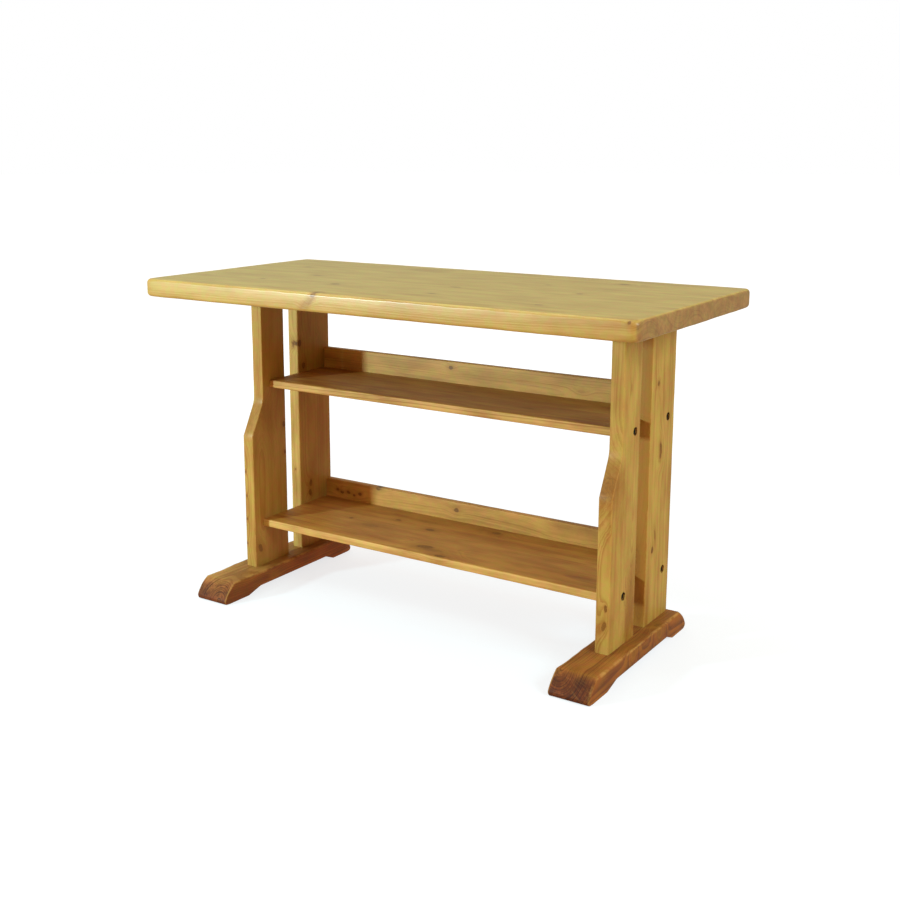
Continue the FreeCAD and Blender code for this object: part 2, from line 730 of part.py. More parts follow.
def make_rail_screws():
    screw = make_rail_screw()
    made = []
    for rail, shelf in (("upper_rail", "upper_shelf"), ("lower_rail", "lower_shelf")):
        seat = f"({SHELVES[shelf][0]} - shelf_thickness + rail_screw_sink)"
        spots = [(*spot, seat) for spot in rail_screw_spots()]
        made.append(copies(f"{rail}_screws", screw, spots, UPRIGHT))
    return made


def make_leg_fasteners():
    up_dowel = dowel("top_dowel_master", "leg_dowel_diameter", f"(leg_dowel_depth + {DOWEL_IN_TOP})")
    down_dowel = dowel("foot_dowel_master", "leg_dowel_diameter", f"(leg_dowel_depth + {DOWEL_IN_FOOT})")
    up_start = f"({TOP_UNDERSIDE} - leg_dowel_depth)"
    down_start = f"(foot_height - {DOWEL_IN_FOOT})"
    up_spots = [(*spot, up_start) for spot in all_end_dowels("top")]
    down_spots = [(*spot, down_start) for spot in all_end_dowels("foot")]
    washer_spots = [(*spot, CEILING_OF_SINK) for spot in coach_spots()]
    screw_spots = [(*spot, f"({CEILING_OF_SINK} - washer_thickness)") for spot in coach_spots()]
    return [
        both_sides("top_dowels", up_dowel, up_spots, UPRIGHT),
        both_sides("foot_dowels", down_dowel, down_spots, UPRIGHT),
        both_sides("foot_washers", make_washer(), washer_spots, UPRIGHT),
        both_sides("foot_coach_screws", make_coach_screw(), screw_spots, UPRIGHT),
    ]


# ---- the whole bench -------------------------------------------------------------------------

def check_document():
    for item in doc.Objects:
        if "Invalid" in item.State or "Error" in item.State:
            raise RuntimeError(f"{item.Label} did not compute: {item.State}")


def write_piece(piece):
    shape = piece.Shape
    if shape.isNull() or not shape.isValid() or not shape.Solids:
        raise RuntimeError(f"{piece.Label} is not a sound solid")
    shape.exportStep(f"parts/{piece.Label}.step")
    box = shape.BoundBox
    spans = [f"{low:.1f}..{high:.1f}" for low, high in (
        (box.XMin, box.XMax), (box.YMin, box.YMax), (box.ZMin, box.ZMax),
    )]
    print(f"{piece.Label}: {len(shape.Solids)} solid(s), {shape.Volume / 1000:.1f} cm3, {spans}")


def main():
    right = [*make_legs(), make_foot()]
    left = [mirror_image(piece.Label.replace("right_", "left_"), piece) for piece in right]
    pieces = [*make_top(), *right, *left]
    for shelf in SHELVES:
        pieces.extend(make_shelf(shelf))
    pieces.append(make_rail("upper_rail", "upper_shelf"))
    pieces.append(make_rail("lower_rail", "lower_shelf"))
    pieces.extend(make_shelf_fasteners())
    pieces.extend(make_rail_screws())
    pieces.extend(make_leg_fasteners())
    doc.recompute()
    check_document()
    os.makedirs("parts", exist_ok=True)
    for piece in pieces:
        write_piece(piece)


main()
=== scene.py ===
"""Trestle potting bench in honey-stained pine: one button for each group of pieces."""
import math

import bmesh
import bpy
from bpy.props import FloatProperty, FloatVectorProperty, PointerProperty
from mathutils import Matrix, Vector, noise


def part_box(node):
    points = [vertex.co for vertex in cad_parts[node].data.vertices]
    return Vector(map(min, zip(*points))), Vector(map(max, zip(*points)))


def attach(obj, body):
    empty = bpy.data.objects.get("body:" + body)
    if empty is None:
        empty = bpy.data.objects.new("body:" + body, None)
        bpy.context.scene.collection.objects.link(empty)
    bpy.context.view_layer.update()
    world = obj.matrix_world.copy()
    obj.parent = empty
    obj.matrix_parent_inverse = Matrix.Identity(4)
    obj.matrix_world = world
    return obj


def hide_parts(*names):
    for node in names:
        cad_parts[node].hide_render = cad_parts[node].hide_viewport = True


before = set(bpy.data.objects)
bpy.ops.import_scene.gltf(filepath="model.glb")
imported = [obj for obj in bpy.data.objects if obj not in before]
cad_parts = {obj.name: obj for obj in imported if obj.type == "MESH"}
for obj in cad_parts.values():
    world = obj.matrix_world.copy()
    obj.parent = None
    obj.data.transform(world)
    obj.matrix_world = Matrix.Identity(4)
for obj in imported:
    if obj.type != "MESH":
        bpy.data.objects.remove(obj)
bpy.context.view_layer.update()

bl_info = {
    "name": "Pine Potting Bench",
    "version": (1, 0, 0),
    "blender": (4, 5, 0),
    "location": "View3D > Sidebar > Bench",
    "description": "Makes the timber, fixings and studio of a trestle potting bench",
    "category": "Add Mesh",
}

BODY = "root"

TOP_BOARDS = sorted(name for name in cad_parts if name.startswith("top_board_"))
SHELVES = ("upper_shelf", "lower_shelf")
BLACK_FIXINGS = [f"{shelf}_bolts" for shelf in SHELVES]
BRIGHT_FIXINGS = [f"{shelf}_barrel_nuts" for shelf in SHELVES]
BRIGHT_FIXINGS += ["upper_rail_screws", "lower_rail_screws", "foot_coach_screws", "foot_washers"]
DOWELS = [f"{shelf}_dowels" for shelf in SHELVES] + ["top_dowels", "foot_dowels"]

ARRIS = "arris"  # mesh attribute: 1 on a rounded edge, 0 on a flat face
ARRIS_STEPS = 6
WELD = 1e-6
ROD_SIDES = 48
SMOOTH_BELOW = math.radians(32)
NEARLY_STRAIGHT = 0.35  # sine of the turn below which two sides count as one curve
LONG_WEAR, SHORT_WEAR = 21.0, 67.0  # swells and nicks of a worn edge, in turns to a metre
LEAST_ARRIS = 0.4  # share of an edge's rounding that is always there
KNOCK_REACH = 0.03
FOOT_WEAR = 2.2  # how much more unevenly the feet are worn than the rest
HEAD_ROOM = 0.0005
NUT_ROOM = 0.0001
HEAD_HEIGHT = {"screws": 0.003, "washers": 0.002}


# ---- sizes and colours -----------------------------------------------------------------------

def length(name, description, default):
    """Property that holds a length in metres."""
    return FloatProperty(name=name, description=description, default=default, min=0.0, unit="LENGTH")


def colour(name, description, default):
    """Property that holds a colour of the finish."""
    return FloatVectorProperty(
        name=name, description=description, default=default,
        size=3, min=0.0, max=1.0, subtype="COLOR",
    )


class BenchSizes(bpy.types.PropertyGroup):
    """Shapes of the timber that the frame's boxes don't give."""

    top_arris: length("Top arris", "Rounding of the top's edges", 0.006)
    top_corner: length("Top corner", "Rounding of the top's four upright corners", 0.014)
    top_corner_wear: length("Corner wear", "Extra rounding where the top's corners are knocked", 0.003)
    leg_arris: length("Leg arris", "Rounding of the legs' upright edges", 0.0025)
    shoulder_depth: length("Shoulder depth", "How much narrower the front leg is at its neck", 0.040)
    shoulder_foot: length("Shoulder foot", "Floor to the shoulder's sharp lower corner", 0.368)
    shoulder_head: length("Shoulder head", "Floor to the upper end of the shoulder's slope", 0.446)
    shoulder_radius: length("Shoulder hollow", "Curve from the slope into the neck", 0.055)
    foot_arris: length("Foot arris", "Rounding of the feet's upper edges", 0.005)
    nose_length: length("Nose length", "How far the foot's nose slopes back", 0.036)
    nose_lip: length("Nose lip", "Upright part of the foot's tip", 0.010)
    nose_radius: length("Nose curve", "Curve of the foot's nose", 0.075)
    nose_blend: length("Nose blend", "Rounding between the nose and the foot's upper face", 0.0035)
    tip_blend: length("Tip blend", "Rounding between the nose and the upright lip", 0.0015)
    toe_radius: length("Toe", "Rounding of the foot's lower tip", 0.007)
    foot_relief: length("Foot hollow", "Height of the hollow under the foot", 0.012)
    front_pad: length("Front pad", "Length of the front part that stands on the floor", 0.080)
    back_pad: length("Back pad", "Length of the rear part that stands on the floor", 0.074)
    front_ramp: length("Front ramp", "Slope behind the front pad", 0.042)
    back_ramp: length("Back ramp", "Slope before the rear pad", 0.030)
    shelf_arris: length("Shelf arris", "Rounding of the shelves' front edges", 0.003)
    rail_arris: length("Rail arris", "Rounding of the rails' upper edges", 0.002)
    counterbore_radius: length("Counterbore", "Radius of the hole that sinks a bolt's head", 0.0085)
    counterbore_depth: length("Counterbore depth", "Depth of the hole that sinks a bolt's head", 0.008)
    bolt_clearance: length("Bolt clearance", "Room all round a bolt", 0.0003)
    bolt_radius: length("Bolt radius", "Radius of the bolt's thread", 0.003)
    screw_radius: length("Screw radius", "Radius of a rail screw's thread", 0.002)
    coach_radius: length("Coach screw radius", "Radius of a coach screw's thread", 0.004)
    washer_room: length("Washer room", "Room all round a washer in its hole", 0.001)
    spacing: length("Spacing", "Distance between points along an edge", 0.010)
    wear: FloatProperty(
        name="Wear", description="How unevenly the edges are rubbed down", default=0.35,
        min=0.0, max=1.0, subtype="FACTOR",
    )


class BenchColours(bpy.types.PropertyGroup):
    """Colours of the stained timber, the fixings and the studio."""

    top_pale: colour("Top, pale wood", "Early wood of the top", (0.44, 0.375, 0.095))
    top_deep: colour("Top, deep wood", "Late wood of the top", (0.33, 0.22, 0.040))
    leg_pale: colour("Legs, pale wood", "Early wood of the legs", (0.405, 0.322, 0.074))
    leg_deep: colour("Legs, deep wood", "Late wood of the legs", (0.290, 0.162, 0.030))
    foot_pale: colour("Feet, pale wood", "Early wood of the feet", (0.275, 0.112, 0.016))
    foot_deep: colour("Feet, deep wood", "Late wood of the feet", (0.14, 0.045, 0.008))
    shelf_pale: colour("Shelves, pale wood", "Early wood of the shelves", (0.42, 0.245, 0.045))
    shelf_deep: colour("Shelves, deep wood", "Late wood of the shelves", (0.275, 0.112, 0.018))
    rail_pale: colour("Rails, pale wood", "Early wood of the rails", (0.50, 0.315, 0.070))
    rail_deep: colour("Rails, deep wood", "Late wood of the rails", (0.29, 0.155, 0.024))
    end_pale: colour("End grain, pale", "Colour kept by pale end grain", (0.76, 0.59, 0.62))
    end_deep: colour("End grain, deep", "Colour kept by deep end grain", (0.30, 0.17, 0.16))
    mottle_green: colour("Green mottle", "Colour kept in the greener patches", (0.90, 1.0, 0.90))
    mottle_pink: colour("Pink mottle", "Colour kept in the pinker patches", (0.97, 0.92, 1.0))
    # Painted shade: a darker tone laid on faces that look forward, for the shaded gap between the right
    # legs and the top's front edge.
    front_face_shade: colour("Pooled stain", "Stain that ran into a narrow gap", (0.285, 0.140, 0.016))
    # Painted shade: a near-black tone laid round each bolt's hole on the legs, for the shade inside the
    # hole.
    painted_hole_shade: colour("Bore", "Wall of a bolt's hole", (0.020, 0.008, 0.003))
    knot: colour("Knot", "Heart of a knot", (0.080, 0.037, 0.004))
    knot_ring: colour("Knot ring", "Wood round a knot", (0.245, 0.118, 0.012))
    # Worn edges take this colour, and the painted light on faces that look forward or up mixes towards
    # it.
    rubbed: colour("Rubbed edge", "Stain worn thin on an edge", (0.54, 0.41, 0.13))
    black_steel: colour("Black steel", "Connector bolts", (0.008, 0.006, 0.005))
    bright_steel: colour("Bright steel", "Nuts, screws and washers", (0.55, 0.55, 0.53))
    beech: colour("Beech", "Dowels", (0.60, 0.42, 0.25))
    floor: colour("Floor", "Studio floor", (0.22, 0.30, 0.36))
    lamps: colour("Lamps", "Light of the lamps", (0.83, 1.0, 0.94))
    glare: colour("Glare", "What the varnish reflects", (0.86, 1.0, 0.84))
    surroundings: colour("Surroundings", "Light that reaches the shaded faces", (1.0, 0.43, 0.21))


# ---- shader graphs ---------------------------------------------------------------------------

class Graph:
    """Lays nodes in a tree and joins them."""

    def __init__(self, tree):
        self.tree = tree

    def add(self, kind, inputs=None, out=0, **settings):
        node = self.tree.nodes.new(f"ShaderNode{kind}")
        for key, setting in settings.items():
            setattr(node, key, setting)
        for key, source in (inputs or {}).items():
            self.feed(node.inputs[key], source)
        return node.outputs[out] if node.outputs else None

    def feed(self, socket, source):
        if isinstance(source, bpy.types.NodeSocket):
            self.tree.links.new(source, socket)
        else:
            socket.default_value = source

    def maths(self, operation, *values, clamp=False):
        return self.add("Math", dict(enumerate(values)), operation=operation, use_clamp=clamp)

    def plus(self, *values, clamp=False):
        return self.maths("ADD", *values, clamp=clamp)

    def times(self, first, second):
        return self.maths("MULTIPLY", first, second)

    def vector(self, operation, *values, out=0):
        return self.add("VectorMath", dict(enumerate(values)), out, operation=operation)

    def dot(self, first, second):
        return self.vector("DOT_PRODUCT", first, second, out="Value")

    def scale(self, vector, factor):
        return self.add("VectorMath", {"Vector": vector, "Scale": factor}, operation="SCALE")

    def mix(self, factor, first, second):
        node = self.tree.nodes.new("ShaderNodeMix")
        node.data_type = "RGBA"
        self.feed(node.inputs[0], factor)
        self.feed(node.inputs[6], first)
        self.feed(node.inputs[7], second)
        return node.outputs[2]

    def between(self, value, low, high, to_low=0.0, to_high=1.0):
        """Smooth step from to_low at low to to_high at high."""
        inputs = {"Value": value, 1: low, 2: high, 3: to_low, 4: to_high}
        return self.add("MapRange", inputs, interpolation_type="SMOOTHSTEP")

    def noise(self, vector, scale=1.0, detail=2.0, roughness=0.5):
        inputs = {"Vector": vector, "Scale": scale, "Detail": detail, "Roughness": roughness}
        return self.add("TexNoise", inputs)


def solid(colour_property):
    return (*colour_property, 1.0)


def new_group(name, inputs, outputs):
    """Node group with its sockets, and its graph, input and output nodes."""
    tree = bpy.data.node_groups.new(name, "ShaderNodeTree")
    for direction, sockets in (("INPUT", inputs), ("OUTPUT", outputs)):
        for socket, kind in sockets.items():
            tree.interface.new_socket(socket, in_out=direction, socket_type=f"NodeSocket{kind}")
    given = tree.nodes.new("NodeGroupInput").outputs
    result = tree.nodes.new("NodeGroupOutput").inputs
    return Graph(tree), given, result


# How fast each part of the figure changes along and across the grain, in turns to a metre.
DRIFT = (1.3, 7.0, 7.0)
FIBRES = (26.0, 900.0, 900.0)
STREAKS = (1.6, 55.0, 55.0)
BLOTCHES = (9.0, 34.0, 34.0)
DRIFT_REACH = (0.0, 0.022, 0.022)  # how far the pith wanders, in metres
UNEVEN_YEARS = 2.2  # how many rings' widths the growth runs ahead or behind
MIDDLE = (0.5, 0.5, 0.5)  # what a noise's colour swings about
CHECK_WIDTH = 0.016


def figure_group():
    """Growth rings round the pith (the X axis of the timber), fibres, streaks and blotches."""
    name = "pine figure"
    if name in bpy.data.node_groups:
        return bpy.data.node_groups[name]
    graph, given, result = new_group(
        name,
        {"Timber": "Vector", "Push": "Float", "Ring": "Float"},
        {"Late": "Float", "Fibre": "Float", "Streak": "Float", "Blotch": "Float", "Check": "Float"},
    )
    timber = given["Timber"]
    drift = graph.add("TexNoise", {
        "Vector": graph.vector("MULTIPLY", timber, DRIFT), "Scale": 1.0, "Detail": 2.0,
    }, out="Color")
    drift = graph.vector("MULTIPLY", graph.vector("SUBTRACT", drift, MIDDLE), DRIFT_REACH)
    across = graph.vector("MULTIPLY", graph.vector("ADD", timber, drift), (0.0, 1.0, 1.0))
    radius = graph.plus(graph.vector("LENGTH", across, out="Value"), given["Push"])
    turns = graph.maths("DIVIDE", radius, given["Ring"])
    uneven = graph.add("TexNoise", {"W": turns, "Scale": 0.45, "Detail": 1.0}, noise_dimensions="1D")
    turns = graph.plus(turns, graph.times(uneven, UNEVEN_YEARS))
    year = graph.maths("FRACT", turns)
    late = graph.times(graph.between(year, 0.25, 0.88), graph.between(year, 1.0, 0.90))
    season = graph.add("TexNoise", {
        "W": graph.maths("FLOOR", turns), "Scale": 3.7, "Detail": 0.0,
    }, noise_dimensions="1D")
    graph.feed(result["Late"], graph.times(late, graph.between(season, 0.3, 0.7, 0.35, 1.0)))
    fibre = graph.noise(graph.vector("MULTIPLY", timber, FIBRES), detail=3.0, roughness=0.6)
    graph.feed(result["Fibre"], fibre)
    streak = graph.noise(graph.vector("MULTIPLY", timber, STREAKS), detail=4.0, roughness=0.6)
    graph.feed(result["Streak"], streak)
    blotch = graph.noise(graph.vector("MULTIPLY", timber, BLOTCHES), detail=4.0)
    graph.feed(result["Blotch"], blotch)
    split = graph.tree.nodes.new("ShaderNodeSeparateXYZ")
    graph.feed(split.inputs[0], across)
    angle = graph.maths("ARCTAN2", split.outputs["Y"], split.outputs["Z"])
    ray = graph.add("TexNoise", {"W": angle, "Scale": 5.0, "Detail": 1.0}, noise_dimensions="1D")
    off = graph.maths("ABSOLUTE", graph.maths("SUBTRACT", ray, 0.5))
    thin = graph.between(off, CHECK_WIDTH, 0.0)
    graph.feed(result["Check"], graph.times(thin, graph.between(streak, 0.42, 0.58)))
    return graph.tree


# Distances from a knot's middle, in its radii.
HEART_EDGE = (1.15, 0.75)
HALO_EDGE = (3.2, 0.6)
KNOT_RAGGED = 0.9
KNOT_RINGS = 3.2  # rings in each radius
PUSH_FADE = -0.12
PUSH_REACH = 1.3


def knot_group():
    """A branch through the wood: its heart, the dark wood round it and the rings it pushes."""
    name = "pine knot"
    if name in bpy.data.node_groups:
        return bpy.data.node_groups[name]
    graph, given, result = new_group(
        name,
        {"Place": "Vector", "Centre": "Vector", "Along": "Vector", "Across": "Vector",
         "Branch": "Vector", "Radius": "Float", "Stretch": "Float", "Reach": "Float"},
        {"Heart": "Float", "Halo": "Float", "Push": "Float", "Ring": "Float"},
    )
    radius = given["Radius"]
    rough = {"Vector": given["Place"], "Scale": 140.0, "Detail": 2.0}
    ragged = graph.vector("SUBTRACT", graph.add("TexNoise", rough, out="Color"), MIDDLE)
    ragged = graph.scale(ragged, graph.times(radius, KNOT_RAGGED))
    away = graph.vector("ADD", graph.vector("SUBTRACT", given["Place"], given["Centre"]), ragged)
    along = graph.maths("DIVIDE", graph.dot(away, given["Along"]), given["Stretch"])
    across = graph.dot(away, given["Across"])
    square = graph.plus(graph.times(along, along), graph.times(across, across))
    distance = graph.maths("DIVIDE", graph.maths("SQRT", square), radius)
    depth = graph.maths("ABSOLUTE", graph.dot(away, given["Branch"]))
    buried = graph.maths("DIVIDE", depth, given["Reach"])
    distance = graph.plus(distance, graph.times(graph.maths("POWER", buried, 4.0), 3.0))
    graph.feed(result["Heart"], graph.between(distance, *HEART_EDGE))
    graph.feed(result["Halo"], graph.between(distance, *HALO_EDGE))
    falling = graph.maths("EXPONENT", graph.times(graph.times(distance, distance), PUSH_FADE))
    graph.feed(result["Push"], graph.times(falling, graph.times(radius, PUSH_REACH)))
    graph.feed(result["Ring"], graph.maths("FRACT", graph.times(distance, KNOT_RINGS)))
    return graph.tree


def use_group(graph, tree, inputs):
    node = graph.tree.nodes.new("ShaderNodeGroup")
    node.node_tree = tree
    for key, source in inputs.items():
        graph.feed(node.inputs[key], source)
    return node.outputs


def new_material(name):
    material = bpy.data.materials.new(name)
    material.use_nodes = True
    material.node_tree.nodes.clear()
    return material, Graph(material.node_tree)


# ---- pine ------------------------------------------------------------------------------------

# Grain direction: which of the frame's axes becomes the timber's X, Y and Z.
GRAIN_ORDER = {"X": ("X", "Y", "Z"), "Y": ("Y", "Z", "X"), "Z": ("Z", "X", "Y")}
GRAIN_VECTOR = {"X": (1.0, 0.0, 0.0), "Y": (0.0, 1.0, 0.0), "Z": (0.0, 0.0, 1.0)}
# The way a branch runs through each face.
BRANCH = {"front": (0.0, 1.0, 0.0), "upper": (0.0, 0.0, 1.0), "side": (1.0, 0.0, 0.0)}

HOLE_SHADE_REACH = 0.0090  # how far from a bolt's middle the painted shade of its hole reaches
HOLE_SHADE_DEPTH = 0.014


class Finish:
    """How one kind of timber was finished.

    rubbed is how much stain is worn off its edges, varnish and shine how it reflects, end_from how
    far a face turns from the grain before it takes end grain's stain, and end_stain the least and
    the most of that stain.
    """

    def __init__(self, rubbed, varnish, shine=0.40, end_from=0.28, end_stain=(0.0, 0.8)):
        self.rubbed, self.varnish, self.shine = rubbed, varnish, shine
        self.end_from, self.end_stain = end_from, end_stain


FINISHES = {
    "top": Finish(0.16, 0.42, end_from=0.62, end_stain=(0.22, 0.50)),
    "leg": Finish(0.35, 0.12, shine=0.28),
    "foot": Finish(0.50, 0.03, shine=0.30, end_stain=(0.0, 1.0)),
    "shelf": Finish(0.45, 0.04),
    "rail": Finish(0.35, 0.12),
}


class Knot:
    """One knot on a face of a piece.

    across and up are shares of the face: from the left, or for a side face from the front, and
    from the bottom, or for an upper face from the front. strength is how dark its heart is.
    """

    def __init__(
        self, face, across, up, radius, stretch=1.5, strength=0.9, halo=0.5, lean=0.0, reach=0.035,
    ):
        self.face, self.across, self.up, self.reach = face, across, up, reach
        self.radius, self.stretch, self.lean = radius, stretch, math.radians(lean)
        self.strength, self.halo = strength, halo

    def lay(self, graph, place, node, grain):
        """Add the knot's nodes, set where it sits on the node's box."""
        low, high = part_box(node)
        deep = Vector((0, high.y - low.y, 0))
        wide = Vector((high.x - low.x, 0, 0))
        tall = Vector((0, 0, high.z - low.z))
        corner, right, upward = {
            "front": (low, wide, tall),
            "upper": (low + tall, wide, deep),
            "side": (low + wide, deep, tall),
        }[self.face]
        branch = Vector(BRANCH[self.face])
        along = Vector(GRAIN_VECTOR[grain])
        if abs(along.dot(branch)) > 0.5:
            along = right.normalized()
        along = Matrix.Rotation(self.lean, 3, branch) @ along
        return use_group(graph, knot_group(), {
            "Place": place,
            "Centre": corner + right * self.across + upward * self.up,
            "Along": along,
            "Across": branch.cross(along),
            "Branch": branch,
            "Radius": self.radius,
            "Stretch": self.stretch,
            "Reach": self.reach,
        })


class Timber:
    """How one piece was sawn and stained.

    pith is where the tree's middle lay, ring how wide a year's growth is, and tilt how far the
    grain runs off the piece. figure is how clear the rings are, deeper how much darker the whole
    piece is painted as shade where it stands in shade, and end how much darker its end grain is.
    front and upward are how much painted light makes the faces that look forward and up paler,
    sheltered and pooled how much painted shade darkens the inner and the front face.
    """

    def __init__(
        self, grain, pith, ring=0.0035, tilt=(0.0, 0.0), figure=0.5, deeper=0.0, knots=(), checks=0.1,
        end=0.0, front=0.0, upward=0.0, sheltered=0.0, front_face_shade=0.0,
    ):
        self.grain, self.pith, self.ring, self.tilt = grain, pith, ring, tilt
        self.figure, self.deeper, self.knots, self.checks = figure, deeper, knots, checks
        self.end, self.front, self.upward = end, front, upward
        self.sheltered, self.front_face_shade = sheltered, front_face_shade


BASE_DEPTH = 0.22  # how deep the stain's colour is in plain early wood
SWINGS = (("Streak", 1.2), ("Blotch", 2.1), ("Fibre", 0.45))
FACING = (0.4, 0.9)  # how squarely a face must face a way before its painted light or shade counts
MOTTLE_GAIN = 1.05
MOTTLE_SIZE = 64.0
END_MOTTLE_SIZE = 95.0
WEAR_SIZE = 24.0
COAT_ROUGH = 0.28
DRY_ROUGH, VARNISH_SMOOTHS = 0.52, 0.35
# End grain: how ragged its border is, how soon it is full, its rings and the depths of its stain.
CUT_RAGGED, CUT_BLEND, CUT_FULL = 0.12, 0.5, 0.97
END_RINGS, END_DEPTH = 0.22, (0.42, 0.86)
HOLE_SHADE_DARK = 0.9
WORN = (0.36, 0.66)  # where the wear's noise begins to rub an edge, and where it has
LATE_RELIEF, END_RELIEF, KNOT_RELIEF = 0.7, 1.5, 0.5


def timber_place(graph, place, node, timber, seed):
    """Where a point lies in the tree: X along the grain, the pith at Y = Z = 0."""
    low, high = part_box(node)
    split = graph.tree.nodes.new("ShaderNodeSeparateXYZ")
    graph.feed(split.inputs[0], graph.vector("SUBTRACT", place, (low + high) / 2))
    order = [split.outputs[axis] for axis in GRAIN_ORDER[timber.grain]]
    turned = graph.add("CombineXYZ", dict(enumerate(order)))
    return graph.add("Mapping", {
        "Vector": turned,
        "Location": (seed * 2.7, timber.pith[0], timber.pith[1]),
        "Rotation": (0.0, math.radians(timber.tilt[0]), math.radians(timber.tilt[1])),
    })


def stained(graph, place, normal, figure, finish, timber, inward):
    """Colour of the stained wood, with the painted light and shade of its faces, before its end grain,
    knots and wear.
    """
    colours = bpy.context.scene.bench_colours
    depth = graph.times(figure["Late"], timber.figure)
    for output, share in SWINGS:
        depth = graph.plus(depth, graph.times(graph.maths("SUBTRACT", figure[output], 0.5), share))
    # Painted shade: this share darkens a whole piece that stands in shade, such as the upper shelf
    # under the top and the left foot.
    depth = graph.plus(depth, BASE_DEPTH + timber.deeper, clamp=True)
    pale = solid(getattr(colours, f"{finish}_pale"))
    deep = solid(getattr(colours, f"{finish}_deep"))
    wood = graph.mix(depth, pale, deep)
    # Pale tone of the painted light on faces that look forward or up.
    painted_lit_tone = graph.mix(depth, solid(colours.rubbed), solid(colours.leg_deep))
    # Painted light on faces that look forward and up; painted shade on faces that look forward and on
    # the inner faces.
    for way, share, tone in (
        ((0.0, -1.0, 0.0), timber.front, painted_lit_tone),
        ((0.0, 0.0, 1.0), timber.upward, painted_lit_tone),
        ((0.0, -1.0, 0.0), timber.front_face_shade, solid(colours.front_face_shade)),
        ((inward, 0.0, 0.0), timber.sheltered, deep),
    ):
        if share:
            wood = graph.mix(graph.between(graph.dot(normal, way), *FACING, 0.0, share), wood, tone)
    patches = graph.between(graph.noise(place, scale=MOTTLE_SIZE, detail=3.0), 0.40, 0.60)
    cast = graph.mix(patches, solid(colours.mottle_green), solid(colours.mottle_pink))
    return graph.vector("MULTIPLY", wood, graph.scale(cast, MOTTLE_GAIN))


def end_grained(graph, wood, cut, figure, mottle, look, timber):
    """The wood with its end grain, which drinks more stain and splits in small checks."""
    colours = bpy.context.scene.bench_colours
    depth = graph.plus(graph.times(figure["Late"], END_RINGS), mottle)
    first, last = (limit - timber.end for limit in END_DEPTH)
    depth = graph.between(depth, first, last, *look.end_stain)
    stain = graph.mix(depth, solid(colours.end_pale), solid(colours.end_deep))
    wood = graph.mix(cut, wood, graph.vector("MULTIPLY", wood, stain))
    checks = graph.times(graph.times(figure["Check"], cut), timber.checks)
    return graph.mix(checks, wood, solid(colours.rubbed))


def knotted(graph, wood, figure, knots):
    """The wood with its knots and the darker wood round them."""
    colours = bpy.context.scene.bench_colours
    uneven = graph.between(figure["Streak"], 0.3, 0.7, 0.5, 1.0)
    for knot, outputs in knots:
        halo = graph.times(graph.times(outputs["Halo"], uneven), knot.halo)
        wood = graph.mix(halo, wood, solid(colours.knot_ring))
        heart = graph.mix(outputs["Ring"], solid(colours.knot), solid(colours.knot_ring))
        wood = graph.mix(graph.times(outputs["Heart"], knot.strength), wood, heart)
    return wood


def with_hole_shade(graph, wood, place, shaded_hole_centres):
    """The wood with painted shade in its bolt holes: a near-black tone round each hole."""
    for centre in shaded_hole_centres:
        inside = use_group(graph, knot_group(), {
            "Place": place, "Centre": centre, "Along": GRAIN_VECTOR["Z"], "Across": GRAIN_VECTOR["Y"],
            "Branch": GRAIN_VECTOR["X"], "Radius": HOLE_SHADE_REACH, "Stretch": 1.0, "Reach": HOLE_SHADE_DEPTH,
        })
        dark = solid(bpy.context.scene.bench_colours.painted_hole_shade)
        wood = graph.mix(graph.times(inside["Heart"], HOLE_SHADE_DARK), wood, dark)
    return wood


